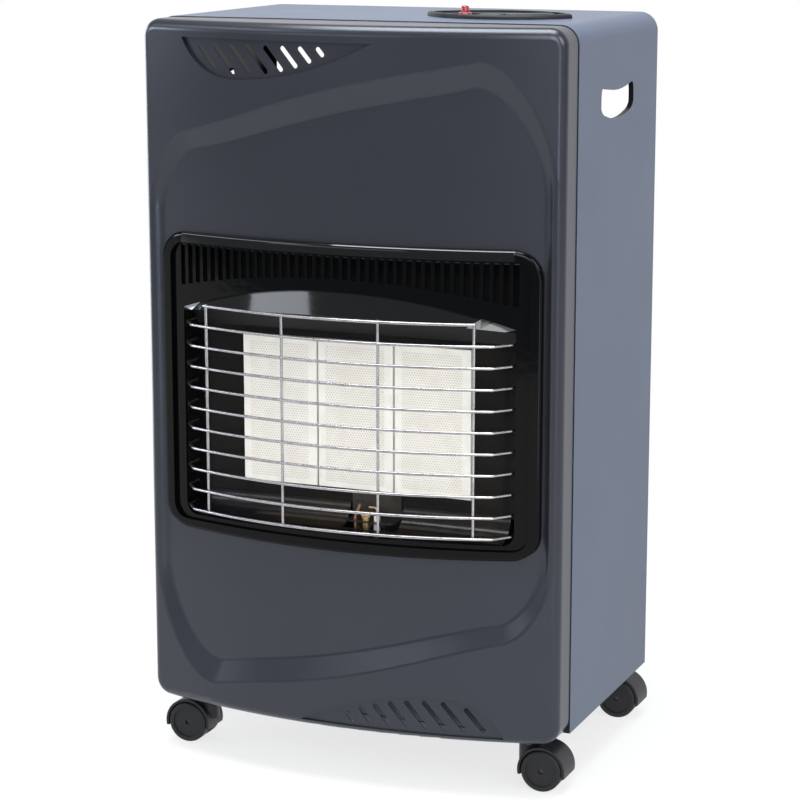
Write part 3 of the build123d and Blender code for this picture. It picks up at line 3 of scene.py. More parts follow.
import bpy
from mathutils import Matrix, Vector


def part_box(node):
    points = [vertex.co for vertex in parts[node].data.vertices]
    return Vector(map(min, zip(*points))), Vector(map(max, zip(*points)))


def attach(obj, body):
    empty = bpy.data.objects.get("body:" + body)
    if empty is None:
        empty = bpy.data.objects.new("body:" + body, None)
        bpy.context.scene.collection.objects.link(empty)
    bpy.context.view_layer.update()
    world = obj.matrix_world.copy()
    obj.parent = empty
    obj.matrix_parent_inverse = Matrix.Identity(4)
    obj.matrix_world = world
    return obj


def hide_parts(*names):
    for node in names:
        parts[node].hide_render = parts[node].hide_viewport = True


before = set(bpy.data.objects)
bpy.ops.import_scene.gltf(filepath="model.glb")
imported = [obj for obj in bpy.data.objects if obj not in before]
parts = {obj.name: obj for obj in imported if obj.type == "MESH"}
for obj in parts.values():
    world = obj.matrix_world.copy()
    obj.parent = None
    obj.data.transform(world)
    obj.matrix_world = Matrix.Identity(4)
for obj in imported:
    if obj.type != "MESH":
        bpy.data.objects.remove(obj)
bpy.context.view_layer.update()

# ---------------------------------------------------------------- cabinet wrap
# Satin powder coat on the bent sheet. The same classes below paint every other piece: a Shade is one
# value in a node tree that arithmetic can be done on, and a Finish is a material made of them.


class Shade:
    """A value in a material's node tree. Arithmetic on it adds the nodes that do it."""

    def __init__(self, tree, socket):
        self.tree = tree
        self.socket = socket

    def node(self, kind, settings, *values, **named):
        """A new node: its settings are set first, then its sockets by place or by name."""
        made = self.tree.nodes.new(kind)
        for name, value in settings.items():
            setattr(made, name, value)
        by_name = [(made.inputs[name], value) for name, value in named.items()]
        for target, value in [*zip(made.inputs, values), *by_name]:
            if isinstance(value, Shade):
                self.tree.links.new(value.socket, target)
            elif value is not None:
                target.default_value = value
        return made

    def math(self, operation, *others):
        made = self.node("ShaderNodeMath", {"operation": operation}, self, *others)
        return Shade(self.tree, made.outputs[0])

    def __add__(self, other):
        return self.math("ADD", other)

    def __sub__(self, other):
        return self.math("SUBTRACT", other)

    def __rsub__(self, other):
        return self.math("MULTIPLY", -1.0).math("ADD", other)

    def __mul__(self, other):
        return self.math("MULTIPLY", other)

    def __truediv__(self, other):
        return self.math("DIVIDE", other)

    def __pow__(self, other):
        return self.math("POWER", other)

    def rise(self, low, high):
        """0 below low, 1 above high, and smooth between them; low may be the larger."""
        made = self.node("ShaderNodeMapRange", {"interpolation_type": "SMOOTHSTEP"}, self, low, high)
        return Shade(self.tree, made.outputs[0])

    def axis(self, index):
        made = self.node("ShaderNodeSeparateXYZ", {}, self)
        return Shade(self.tree, made.outputs[index])

    def stretched(self, x, y, z):
        made = self.node("ShaderNodeVectorMath", {"operation": "MULTIPLY"}, self, (x, y, z))
        return Shade(self.tree, made.outputs[0])

    def noise(self, scale, detail=2.0, rough=0.5):
        made = self.node("ShaderNodeTexNoise", {}, Vector=self, Scale=scale, Detail=detail, Roughness=rough)
        return Shade(self.tree, made.outputs[0])

    def cells(self, scale):
        """How far each point lies from its cell's middle, and a colour for each cell."""
        made = self.node("ShaderNodeTexVoronoi", {}, Vector=self, Scale=scale)
        return Shade(self.tree, made.outputs["Distance"]), Shade(self.tree, made.outputs["Color"])


class Finish:
    """A procedural material. Its point is the place on the object, in the frame's metres."""

    def __init__(self, name, **sockets):
        self.material = bpy.data.materials.new(name)
        self.material.use_nodes = True
        self.tree = self.material.node_tree
        self.shader = self.tree.nodes["Principled BSDF"]
        for socket, value in sockets.items():
            self.shader.inputs[socket.replace("_", " ")].default_value = value
        coordinates = self.tree.nodes.new("ShaderNodeTexCoord")
        self.point = Shade(self.tree, coordinates.outputs["Object"])

    def vary(self, socket, value):
        self.tree.links.new(value.socket, self.shader.inputs[socket])

    def between(self, factor, first, second):
        """The colour that goes from first to second as factor goes from 0 to 1."""
        made = self.point.node("ShaderNodeMix", {"data_type": "RGBA"}, factor)
        for target, value in zip((made.inputs[6], made.inputs[7]), (first, second)):
            if isinstance(value, Shade):
                self.tree.links.new(value.socket, target)
            else:
                target.default_value = (*value, 1.0)
        return Shade(self.tree, made.outputs[2])

    def bump(self, height, depth, strength=1.0):
        made = self.point.node("ShaderNodeBump", {}, Strength=strength, Distance=depth, Height=height)
        self.tree.links.new(made.outputs[0], self.shader.inputs["Normal"])

    def coat(self, *pieces):
        """Puts the finish on CAD pieces."""
        for name in pieces:
            for place in parts[name].material_slots:
                place.material = self.material


def painted(name, light, dark, rough, metal, shine, grain):
    """Sprayed paint: a slow drift of tone, a fine orange peel and a few duller patches."""
    paint = Finish(name, Metallic=metal, Specular_IOR_Level=shine)
    drift = paint.point.noise(5.0, 3.0).rise(0.3, 0.7)
    specks = paint.point.noise(2600.0, 1.0).rise(0.35, 0.75)
    paint.vary("Base Color", paint.between(drift * 0.6 + specks * 0.4, dark, light))
    paint.vary("Roughness", paint.point.noise(14.0, 2.0) * 0.05 + (rough - 0.025))
    paint.bump(paint.point.noise(850.0, 2.0) + paint.point.noise(260.0, 1.0) * 0.6, grain)
    return paint


side_paint = painted(
    "cabinet_paint", light=(0.068, 0.088, 0.138), dark=(0.060, 0.078, 0.123),
    rough=0.38, metal=0.0, shine=0.25, grain=0.00003,
)

# Painted shade: the wrap is near black inside. Its two faces are told apart by how far they lie from the
# fold's axis.
wrap_low, wrap_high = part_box("housing")
fold_radius = 0.0180
skin_start = fold_radius - 0.00030
skin_end = fold_radius - 0.00045
rear_lip = 0.1060
rear_lip_fade = 0.0010
place_x, place_y, place_z = (side_paint.point.axis(index) for index in range(3))
past_side = (place_x.math("ABSOLUTE") - (wrap_high.x - fold_radius)).math("MAXIMUM", 0.0)
past_top = (place_z - (wrap_high.z - fold_radius)).math("MAXIMUM", 0.0)
depth = (past_side**2.0 + past_top**2.0).math("SQRT")
shaded_inside = depth.rise(skin_start, skin_end) * place_y.rise(rear_lip, rear_lip - rear_lip_fade)
skin = Shade(side_paint.tree, side_paint.shader.inputs["Base Color"].links[0].from_socket)
# The inside faces take a near-black colour: painted shade, where little light reaches.
side_paint.vary("Base Color", side_paint.between(shaded_inside, skin, (0.006, 0.006, 0.007)))
side_paint.coat("housing")


def redrawn(name, body, move):
    """The CAD node's mesh with its points moved a little, in its place; the shading turns with each face."""
    source = parts[name]
    mesh = source.data.copy()
    shading = [Vector(corner.vector) for corner in mesh.corner_normals]
    before = [face.normal.copy() for face in mesh.polygons]
    for vertex in mesh.vertices:
        vertex.co = move(*(source.matrix_world @ vertex.co))
    mesh.update()
    for face, old in zip(mesh.polygons, before):
        if old.length > 0.5 and face.normal.length > 0.5:
            turn = old.rotation_difference(face.normal)
            for corner in face.loop_indices:
                shading[corner] = turn @ shading[corner]
    mesh.normals_split_custom_set(shading)
    piece = bpy.data.objects.new(name + "_form", mesh)
    bpy.context.scene.collection.objects.link(piece)
    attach(piece, body)
    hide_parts(name)
    return piece


# The hand holes smile: pointed upper corners and a round, sagging foot.
hole_side = 0.2000
hole_middle = -0.017075
hole_half = 0.0490
hole_level = 0.6340
hole_rise = 0.0155
hole_waist = hole_level + 0.0040
hole_top = 0.6550
hole_top_sag = 0.0058
hole_foot = 0.6255
hole_foot_rise = 0.0048
hole_reach_along = 0.0080
hole_reach_up = 0.0280
corner_limit = 1.3
corner_sharpness = 1.12
foot_begins = -0.2


def smiling(x, y, z):
    beside = abs(y - hole_middle) < hole_half + hole_reach_along
    if abs(x) > hole_side and beside and abs(z - hole_level) < hole_reach_up:
        across = (y - hole_middle) / hole_half
        up = (z - hole_level) / hole_rise
        squared = min(across * across, corner_limit)
        if up > foot_begins:
            share = math.sin(min(up * corner_sharpness, 1.0) * math.pi / 2) if up > 0 else up
            top = hole_top - hole_top_sag * (1 - squared)
            z = hole_waist + share * (top - hole_waist) + max(up - 1.0, 0.0) * hole_rise
        else:
            z = hole_waist + up * (hole_waist - hole_foot - hole_foot_rise * squared)
    return x, y, z


redrawn("housing", "cabinet", smiling)

# ---------------------------------------------------------------- front panel
# The drawn front has the same kind of paint, darker, glossier and slightly metallic, which shows its
# pressed walls.

panel_paint = painted(
    "panel_paint", light=(0.022, 0.023, 0.029), dark=(0.018, 0.019, 0.024),
    rough=0.29, metal=0.20, shine=0.72, grain=0.000008,
)
panel_paint.shader.inputs["Specular Tint"].default_value = (0.80, 0.86, 1.0, 1.0)
panel_paint.coat("front_panel")

# ---------------------------------------------------------------- fascia
# Gloss black enamel: deep and wet, with the faint waves and pin marks of a fired coat. Only the hood over
# the mouth, which stands ahead of the bowed plate, has a clear second coat.

plate_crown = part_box("fascia")[0].y + 0.0120
plate_radius = 0.6570
plate_bow = 0.76
half_mouth = 0.1670
coat_start = 0.0002
coat_full = 0.0010
coat_foot = 0.4380
coat_blend = 0.0020

enamel = Finish("enamel", Specular_IOR_Level=0.15, Coat_Roughness=0.05)
firing = enamel.point.noise(60.0, 3.0)
enamel.vary("Base Color", enamel.between(firing, (0.0012, 0.0013, 0.0015), (0.0018, 0.0019, 0.0022)))
enamel.vary("Roughness", firing * 0.04 + 0.06)
across, ahead, up = (enamel.point.axis(index) for index in range(3))
proud = (ahead - (across * across * plate_bow + plate_crown)).rise(-coat_start, -coat_full)
within = across.math("ABSOLUTE").rise(half_mouth - coat_start, half_mouth - coat_full)
above = up.rise(coat_foot, coat_foot + coat_blend)
enamel.vary("Coat Weight", proud * within * above)
enamel.bump(enamel.point.noise(120.0, 2.0), 0.00008)
enamel.coat("fascia")

# The visor is a sloping hood: flush with the plate along its upper arc, lowest and farthest out at its lip.
# What lies above the hood moves up a little, and the fascia's foot sags in the middle.
mouth_end = 0.4410
mouth_rise = 0.0170
hood_tall = 0.0110
hood_end = 0.0030
hood_side_play = 0.0005
hood_below = 0.0012
hood_above = 0.0006
lip_fall = 0.0070
lift = 0.0042
lift_start = 0.0010
lift_length = 0.0050
foot_line = 0.2410
foot_blend = 0.0080
foot_half = 0.1900
foot_lift = 0.0035
foot_drop = 0.0012


def smooth_step(value):
    value = min(max(value, 0.0), 1.0)
    return value * value * (3.0 - 2.0 * value)


def hooded(x, y, z):
    share = max(1.0 - (x / half_mouth) ** 2, 0.0)
    low = mouth_end + mouth_rise * share
    high = mouth_end + hood_end + (mouth_rise + hood_tall) * share
    plate = plate_crown + plate_radius - math.sqrt(plate_radius**2 - x * x)
    if abs(x) < half_mouth + hood_side_play and low - hood_below < z < high + hood_above:
        up = min(max((z - low) / (high - low), 0.0), 1.0)
        if y < plate:
            y = plate + (y - plate) * (1.0 - up)
        z -= lip_fall * share * (1.0 - up)
    elif z > high:
        z += lift * smooth_step((z - high - lift_start) / lift_length)
    elif z < foot_line:
        sag = foot_lift * (x / foot_half) ** 2 - foot_drop
        z += sag * smooth_step((foot_line - z) / foot_blend)
    return x, y, z


redrawn("fascia", "cabinet", hooded)

# ---------------------------------------------------------------- wire guard
# Bright plated wire with a little tarnish. Its drawing marks are noise stretched along x, the way the
# bowed wires run.

plated = Finish("plated_wire", Metallic=1.0)
tarnish = plated.point.noise(70.0, 3.0).rise(0.45, 0.75)
plated.vary("Base Color", plated.between(tarnish, (0.50, 0.485, 0.505), (0.39, 0.375, 0.385)))
drawing = plated.point.stretched(30.0, 260.0, 260.0).noise(1.0, 2.0)
plated.vary("Roughness", drawing * 0.10 + 0.20)
plated.bump(drawing, 0.000006)
plated.coat("wire_guard")

# ---------------------------------------------------------------- ceramic plaques
# Cream ceramic with staggered rows of fine holes inside a plain margin. The rows are laid out from each
# plaque's own box, and each plaque is a shade of its own.

hole_pitch = 0.00265
row_share = 0.866
hole_edge = (0.34, 0.20)
margin_left = 0.0070
margin_right = 0.0085
margin_ends = 0.0050
margin_blur = 0.0004


def inside(distance):
    """1 where a distance from the margin is positive, 0 where it is negative."""
    return distance.rise(-margin_blur, margin_blur)


for plaque_name, warmth in (("plaque_left", 0.0), ("plaque_center", 0.35), ("plaque_right", 0.7)):
    low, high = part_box(plaque_name)
    clay = Finish(plaque_name + "_clay")
    across, up = clay.point.axis(0), clay.point.axis(2)
    row = (up - low.z) / (hole_pitch * row_share)
    odd = (row.math("FLOOR") * 0.5).math("FRACT")
    along = (across - low.x) / hole_pitch + odd
    reach = (along.math("FRACT") - 0.5) ** 2.0 + ((row.math("FRACT") - 0.5) * row_share) ** 2.0
    hole = reach.math("SQRT").rise(*hole_edge)
    field = inside(across - (low.x + margin_left)) * inside((high.x - margin_right) - across)
    field = field * inside(up - (low.z + margin_ends)) * inside((high.z - margin_ends) - up)
    pit = hole * field
    dust = clay.point.noise(90.0, 4.0)
    cream = (0.84, 0.80 - 0.01 * warmth, 0.74 - 0.03 * warmth)
    body = clay.between(dust.rise(0.3, 0.7), cream, (0.78, 0.735, 0.66))
    # Inside the holes the colour is painted darker: painted shade.
    clay.vary("Base Color", clay.between(pit, body, (0.58, 0.52, 0.43)))
    clay.vary("Roughness", dust * 0.1 + 0.8)
    clay.bump(dust * 0.2 - pit, 0.0003, 0.4)
    clay.coat(plaque_name)

# ---------------------------------------------------------------- burner bodies and rails
# Aluminised steel pressings with a mottled skin and scorched patches. The rails behind the burners and
# their screws have it too.

aluminised = Finish("aluminised", Metallic=0.9)
mottle, _ = aluminised.point.cells(260.0)
scorch = aluminised.point.noise(24.0, 4.0).rise(0.45, 0.7)
aluminised.vary("Base Color", aluminised.between(scorch, (0.50, 0.49, 0.47), (0.30, 0.25, 0.20)))
aluminised.vary("Roughness", mottle * 0.3 + 0.32)
aluminised.bump(mottle, 0.00006)
aluminised.coat("burner_left", "burner_center", "burner_right", "burner_rails", "rail_screws")

# ---------------------------------------------------------------- reflectors and heat shield
# Black fired sheet round the plaques, with patches of faint brown bloom. The shield behind them is painted
# the same kind of near black, with bloom: painted shade. The four sheets differ in tone, gloss and
# roughness.


def blackened(name, tone, bloom, rough, shine):
    """Fired sheet: rolling marks along it, and patches of bloom."""
    sheet = Finish(name, Specular_IOR_Level=shine)
    rolling = sheet.point.stretched(14.0, 700.0, 700.0).noise(1.0, 3.0)
    heat = sheet.point.noise(16.0, 3.0).rise(0.45, 0.75)
    sheet.vary("Base Color", sheet.between(heat, tone, bloom))
    sheet.vary("Roughness", rolling * 0.10 + rough)
    sheet.bump(rolling, 0.00002)
    return sheet


blackened(
    "black_sheet", tone=(0.0030, 0.0030, 0.0029), bloom=(0.0060, 0.0050, 0.0036), rough=0.14, shine=0.16,
).coat("reflector_frame", "reflector_cheeks")
blackened(
    "canopy_sheet", tone=(0.010, 0.010, 0.010), bloom=(0.015, 0.014, 0.012), rough=0.30, shine=0.35,
).coat("reflector_canopy")
# The heat shield is painted near black: painted shade behind the burners.
blackened(
    "shield_painted_shade", tone=(0.020, 0.020, 0.021), bloom=(0.030, 0.028, 0.024), rough=0.45, shine=0.3,
).coat("heat_shield")
blackened(
    "deflector_sheet", tone=(0.005, 0.005, 0.006), bloom=(0.016, 0.011, 0.006), rough=0.13, shine=0.4,
).coat("reflector_deflector")

# ---------------------------------------------------------------- zinc-coated sheet
# Hanger, injector rail and pipe clips: spangled galvanising. Each crystal has a tone and a roughness of
# its own.

zinc = Finish("galvanised", Metallic=0.85)
edge, crystal = zinc.point.cells(75.0)
tone = crystal.axis(0)
zinc.vary("Base Color", zinc.between(tone, (0.38, 0.40, 0.42), (0.56, 0.57, 0.58)))
zinc.vary("Roughness", tone * 0.2 + 0.30)
zinc.bump(edge, 0.00003)
zinc.coat("valve_hanger", "injector_rail", "pipe_clips")

# ---------------------------------------------------------------- gas train
# Die-cast valve, drawn aluminium pipes, turned brass fittings, a pilot bracket painted near black as shade,
# and a copper capillary.


def cast_or_turned(name, light, dark, grain_scale, rough, depth):
    """Bare metal with the grain of how it was made, and stains."""
    metal = Finish(name, Metallic=1.0)
    grain = metal.point.noise(grain_scale, 3.0)
    stain = metal.point.noise(45.0, 3.0).rise(0.4, 0.75)
    metal.vary("Base Color", metal.between(stain, light, dark))
    metal.vary("Roughness", grain * 0.18 + rough)
    metal.bump(grain, depth)
    return metal


cast_or_turned(
    "die_cast", light=(0.58, 0.58, 0.59), dark=(0.42, 0.42, 0.42),
    grain_scale=900.0, rough=0.42, depth=0.00006,
).coat("gas_valve")
cast_or_turned(
    "drawn_tube", light=(0.66, 0.66, 0.67), dark=(0.50, 0.49, 0.48),
    grain_scale=400.0, rough=0.26, depth=0.00002,
).coat("gas_pipe_left", "gas_pipe_center", "gas_pipe_right")
cast_or_turned(
    "tinted_tube", light=(0.58, 0.50, 0.36), dark=(0.40, 0.30, 0.18),
    grain_scale=400.0, rough=0.22, depth=0.00002,
).coat("pilot_pipe")
cast_or_turned(
    "brass", light=(0.72, 0.55, 0.27), dark=(0.50, 0.36, 0.17),
    grain_scale=1200.0, rough=0.24, depth=0.00002,
).coat("valve_nut", "valve_rotor", "valve_stem", "gas_inlet", "injectors", "pilot_burner")
# The pilot bracket is painted near black: painted shade where the pilot sits.
cast_or_turned(
    "bracket_painted_shade", light=(0.085, 0.080, 0.072), dark=(0.050, 0.046, 0.040),
    grain_scale=500.0, rough=0.34, depth=0.00003,
).coat("pilot_bracket")
cast_or_turned(
    "copper", light=(0.66, 0.36, 0.22), dark=(0.42, 0.22, 0.14),
    grain_scale=600.0, rough=0.28, depth=0.00002,
).coat("flame_sensor")

# ---------------------------------------------------------------- spark electrode and its lead
# A glazed insulator with a faint crackle, a heat-tinted wire, and the black sleeve of the ignition lead
# with a fine weave.

glazed = Finish("glazed_insulator", Coat_Weight=0.5)
crackle = glazed.point.noise(300.0, 3.0)
glazed.vary("Base Color", glazed.between(crackle, (0.82, 0.80, 0.74), (0.66, 0.60, 0.50)))
glazed.vary("Roughness", crackle * 0.1 + 0.15)
glazed.bump(crackle, 0.00002)
glazed.coat("spark_insulator")

cast_or_turned(
    "spark_metal", light=(0.70, 0.55, 0.28), dark=(0.42, 0.33, 0.22),
    grain_scale=500.0, rough=0.25, depth=0.00001,
).coat("spark_wire")

sleeve = Finish("sleeve")
weave = sleeve.point.noise(1500.0, 2.0)
sleeve.vary("Base Color", sleeve.between(weave, (0.012, 0.012, 0.013), (0.030, 0.030, 0.032)))
sleeve.vary("Roughness", weave * 0.2 + 0.5)
sleeve.bump(weave, 0.00003)
sleeve.coat("ignition_lead")

# ---------------------------------------------------------------- bezel and knob
# Grained dark plastic, also on the piezo igniter and its nut. The knob's grip is drawn lower than in the
# CAD form.


def plastic(name, light, dark, rough, grain_scale, depth, coat=0.0, shine=0.35):
    """Moulded plastic: a fine spark-eroded grain and slightly uneven gloss."""
    moulded = Finish(name, Coat_Weight=coat, Coat_Roughness=0.2, Specular_IOR_Level=shine)
    grain = moulded.point.noise(grain_scale, 2.0)
    handling = moulded.point.noise(55.0, 3.0)
    moulded.vary("Base Color", moulded.between(handling, dark, light))
    moulded.vary("Roughness", handling * 0.12 + grain * 0.08 + rough)
    moulded.bump(grain, depth)
    return moulded


plastic(
    "bezel_plastic", light=(0.022, 0.023, 0.027), dark=(0.015, 0.016, 0.019),
    rough=0.34, grain_scale=1800.0, depth=0.00004, shine=0.2,
).coat("control_bezel", "piezo_igniter", "igniter_nut")
plastic(
    "knob_plastic", light=(0.010, 0.010, 0.012), dark=(0.006, 0.006, 0.008),
    rough=0.20, grain_scale=1500.0, depth=0.00002, shine=0.5,
).coat("control_knob")

disc_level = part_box("control_bezel")[1].z - 0.0050
grip_share = 0.55


def low_grip(x, y, z):
    return x, y, disc_level + (z - disc_level) * grip_share if z > disc_level else z


redrawn("control_knob", "control_knob_body", low_grip)

# ---------------------------------------------------------------- igniter button
# A stepped cap of glossy red plastic, turned about a vertical axis. It takes the CAD button's place and
# moves with its body.

button_plastic = plastic(
    "button_plastic", light=(0.27, 0.004, 0.018), dark=(0.20, 0.003, 0.014),
    rough=0.14, grain_scale=900.0, depth=0.00001, coat=0.6,
)


def turned(name, centre, profile, finish, body, steps=64):
    """A solid of revolution about a vertical axis; profile holds (radius, height) from the foot up."""
    points, faces = [], []
    for step in range(steps):
        angle = 2.0 * math.pi * step / steps
        for radius, height in profile:
            along, aside = radius * math.cos(angle), radius * math.sin(angle)
            points.append((centre[0] + along, centre[1] + aside, height))
    count = len(profile)
    for step in range(steps):
        here, there = step * count, (step + 1) % steps * count
        for level in range(count - 1):
            faces.append((here + level, there + level, there + level + 1, here + level + 1))
    faces.append([step * count for step in reversed(range(steps))])
    faces.append([step * count + count - 1 for step in range(steps)])
    mesh = bpy.data.meshes.new(name)
    mesh.from_pydata(points, [], faces)
    mesh.polygons.foreach_set("use_smooth", [True] * len(mesh.polygons))
    mesh.set_sharp_from_angle(angle=math.radians(40))
    mesh.materials.append(finish.material)
    piece = bpy.data.objects.new(name, mesh)
    bpy.context.scene.collection.objects.link(piece)
    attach(piece, body)
    return piece


low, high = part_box("igniter_button")
button_foot = (0.0045, low.z)
# Each step is a radius, and how far below the cap's top it lies.
button_steps = [
    (0.0045, 0.0125), (0.00625, 0.0125), (0.00625, 0.0072), (0.0060, 0.0067), (0.0054, 0.0064),
    (0.0040, 0.0062), (0.0038, 0.0060), (0.0037, 0.0016), (0.0033, 0.0007), (0.0024, 0.0002), (0.0010, 0.0),
]
stepped_button = turned(
    "stepped_button",
    ((low.x + high.x) / 2, (low.y + high.y) / 2),
    [button_foot, *((radius, high.z - drop) for radius, drop in button_steps)],
    button_plastic, "igniter_button_body",
)
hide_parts("igniter_button")

# ---------------------------------------------------------------- base tray
# A dull satin paint, darker than that of the sides. A dark sheet hung behind the lower vents, placed from
# the tray's box and the panel's foot, stands in for the shade under the cabinet: painted shade.

tray_paint = painted(
    "tray_paint", light=(0.060, 0.070, 0.094), dark=(0.046, 0.055, 0.075),
    rough=0.48, metal=0.1, shine=0.40, grain=0.00005,
)
tray_paint.coat("base_tray")

# Painted shade: a dark sheet behind the lower vents, so that they show shade and not the white floor.
tray_low, tray_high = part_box("base_tray")
vent_shade_inset = 0.0300
vent_shade_thickness = 0.0010
left, right = tray_low.x + vent_shade_inset, tray_high.x - vent_shade_inset
near, far = tray_low.y, tray_low.y + vent_shade_thickness
foot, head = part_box("front_panel")[0].z - 0.0050, tray_low.z + vent_shade_thickness
vent_shade_mesh = bpy.data.meshes.new("vent_shade_sheet")
vent_shade_mesh.from_pydata(
    [(x, y, z) for x in (left, right) for y in (near, far) for z in (foot, head)],
    [],
    [(0, 1, 3, 2), (4, 6, 7, 5), (0, 4, 5, 1), (2, 3, 7, 6), (0, 2, 6, 4), (1, 5, 7, 3)],
)
vent_shade_mesh.materials.append(tray_paint.material)
vent_shade = bpy.data.objects.new("vent_shade_sheet", vent_shade_mesh)
bpy.context.scene.collection.objects.link(vent_shade)
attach(vent_shade, "cabinet")

# ---------------------------------------------------------------- rear cover
# The same kind of paint as on the sides, a little lighter and duller. The cover comes off to the rear, so
# it is seen from both sides.

painted(
    "cover_paint", light=(0.086, 0.105, 0.150), dark=(0.072, 0.089, 0.130),
    rough=0.44, metal=0.0, shine=0.35, grain=0.00004,
).coat("rear_cover")

# ---------------------------------------------------------------- castors
# Black nylon, slightly duller and lighter treads, and dark steel axles. The pieces are found by how their
# names start.


def starting(prefix):
    """The names of the CAD pieces that start with prefix."""
    return [name for name in sorted(parts) if name.startswith(prefix)]


plastic(
    "castor_nylon", light=(0.013, 0.013, 0.016), dark=(0.008, 0.008, 0.010),
    rough=0.34, grain_scale=1400.0, depth=0.00003,
).coat(*starting("castor_"))
plastic(
    "castor_tread", light=(0.016, 0.016, 0.018), dark=(0.009, 0.009, 0.011),
    rough=0.48, grain_scale=700.0, depth=0.00006,
).coat(*starting("wheel_"))
cast_or_turned(
    "axle_steel", light=(0.070, 0.070, 0.074), dark=(0.045, 0.045, 0.048),
    grain_scale=900.0, rough=0.3, depth=0.00002,
).coat(*starting("axle_"))

# ---------------------------------------------------------------- floor and wall
# A white studio: glowing white to the camera and in reflections, and lit like white paint for all other
# rays. The floor keeps a quarter of its own shading near the object, and so part of the shadow.


def studio_white(name, shade_kept):
    """Glowing white to the camera, but for shade_kept of the lit look near the object."""
    white = Finish(name, Roughness=0.9)
    drift = white.point.noise(3.0, 1.0)
    white.vary("Base Color", white.between(drift, (0.86, 0.86, 0.86), (0.88, 0.88, 0.88)))
    glow = white.point.node("ShaderNodeEmission", {}, Color=(1.0, 1.0, 1.0, 1.0), Strength=1.0)
    path = white.tree.nodes.new("ShaderNodeLightPath")
    seen = Shade(white.tree, path.outputs["Is Camera Ray"])
    mirrored = Shade(white.tree, path.outputs["Is Glossy Ray"])
    through = Shade(white.tree, path.outputs["Is Transmission Ray"])
    near = white.point.node("ShaderNodeVectorMath", {"operation": "LENGTH"}, white.point)
    far = Shade(white.tree, near.outputs["Value"]).rise(0.25, 0.75)
    plain = seen * (far * shade_kept + (1.0 - shade_kept)) + mirrored + through
    blend = plain.node("ShaderNodeMixShader", {}, plain.math("MINIMUM", 1.0), None, None)
    white.tree.links.new(white.shader.outputs[0], blend.inputs[1])
    white.tree.links.new(glow.outputs[0], blend.inputs[2])
    white.tree.links.new(blend.outputs[0], white.tree.nodes["Material Output"].inputs["Surface"])
    return white


def studio_sheet(name, corners, finish):
    """A flat sheet of the studio, with its corners in order."""
    mesh = bpy.data.meshes.new(name)
    mesh.from_pydata(corners, [], [range(len(corners))])
    sheet = bpy.data.objects.new(name, mesh)
    bpy.context.scene.collection.objects.link(sheet)
    mesh.materials.append(finish.material)


side, front, back, ceiling = 4.0, -2.2, 2.4, 3.0
studio_sheet(
    "studio_floor",
    [(-side, front, 0.0), (side, front, 0.0), (side, back, 0.0), (-side, back, 0.0)],
    studio_white("floor_white", 0.25),
)
studio_sheet(
    "studio_wall",
    [(-side, back, 0.0), (side, back, 0.0), (side, back, ceiling), (-side, back, ceiling)],
    studio_white("wall_white", 0.0),
)

# ---------------------------------------------------------------- world
# The camera sees plain white behind the object. Everything else gets a dim and slightly blue light from
# all round.

scene = bpy.context.scene
scene.view_settings.view_transform = "Standard"
world = bpy.data.worlds.new("studio")
scene.world = world
world.use_nodes = True
sky = world.node_tree
sky.nodes.clear()


def sky_light(colour, strength):
    made = sky.nodes.new("ShaderNodeBackground")
    made.inputs["Color"].default_value = (*colour, 1.0)
    made.inputs["Strength"].default_value = strength
    return made


seen = sky.nodes.new("ShaderNodeLightPath")
plain = sky_light((1.0, 1.0, 1.0), 1.0)
fill = sky_light((0.90, 0.95, 1.0), 0.30)
mix = sky.nodes.new("ShaderNodeMixShader")
out = sky.nodes.new("ShaderNodeOutputWorld")
sky.links.new(seen.outputs["Is Camera Ray"], mix.inputs[0])
sky.links.new(fill.outputs[0], mix.inputs[1])
sky.links.new(plain.outputs[0], mix.inputs[2])
sky.links.new(mix.outputs[0], out.inputs[0])

# ---------------------------------------------------------------- lamps
# Three strong soft lamps stand on the right, in front and above. Of the five weaker ones four stand on the
# left and one low on the right.


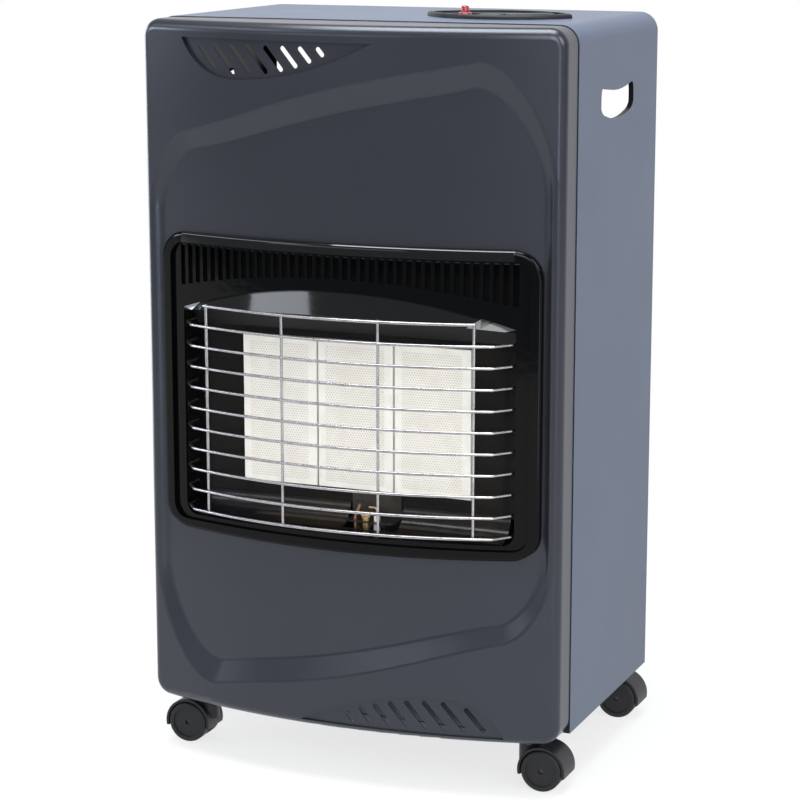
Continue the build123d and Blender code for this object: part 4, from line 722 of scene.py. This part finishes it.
def soft_lamp(name, place, aim, size, watts, tint):
    lamp = bpy.data.lights.new(name, "AREA")
    lamp.shape = "RECTANGLE"
    lamp.size, lamp.size_y = size
    lamp.energy = watts
    lamp.color = tint
    holder = bpy.data.objects.new(name, lamp)
    scene.collection.objects.link(holder)
    holder.location = place
    holder.rotation_euler = (Vector(aim) - Vector(place)).to_track_quat("-Z", "Y").to_euler()
    holder.visible_camera = False


soft_lamp("key_lamp", (2.5, -1.1, 1.8), (0.1, 0.0, 0.35), (0.9, 1.6), 36.0, (1.0, 0.99, 0.98))
soft_lamp("front_lamp", (1.2, -2.6, 1.6), (0.0, -0.1, 0.35), (1.0, 1.4), 30.0, (0.96, 0.98, 1.0))
soft_lamp("top_lamp", (0.0, -0.3, 2.3), (0.0, 0.0, 0.4), (1.6, 1.2), 72.0, (0.97, 0.99, 1.0))
soft_lamp("left_strip", (-1.45, 0.50, 0.45), (-0.2, -0.15, 0.45), (0.70, 1.1), 9.0, (0.88, 0.94, 1.0))
soft_lamp("hood_lamp", (-1.85, -1.45, 2.15), (-0.1, -0.15, 0.50), (1.5, 0.45), 9.0, (0.86, 0.92, 1.0))
soft_lamp("corner_lamp", (-2.4, -1.15, 1.05), (-0.2, -0.15, 0.66), (0.5, 0.45), 13.0, (0.82, 0.91, 1.0))
soft_lamp("brow_lamp", (-0.9, -2.2, 1.05), (0.0, -0.15, 0.65), (1.2, 0.30), 3.0, (0.94, 0.97, 1.0))
soft_lamp("right_strip", (0.98, -1.20, 0.30), (0.2, -0.15, 0.35), (0.16, 0.9), 3.0, (0.72, 0.86, 1.0))

# ---------------------------------------------------------------- camera
# A long lens in front of the object, to its right and higher than it, that looks down a little. Its place
# along y is taken from the front edge of the sides.

focal_pixels = 2527.4
frame_pixels = 800
sensor_width = 36.0
pitch_down = 0.205
turn_left = 0.3922

camera = bpy.data.cameras.new("camera")
camera.lens = focal_pixels / frame_pixels * sensor_width
camera.sensor_width = sensor_width
viewer = bpy.data.objects.new("camera", camera)
scene.collection.objects.link(viewer)
viewer.location = (0.92398, wrap_low.y - 2.1421, 0.84426)
viewer.rotation_euler = (math.pi / 2 - pitch_down, 0.0, turn_left)
scene.camera = viewer
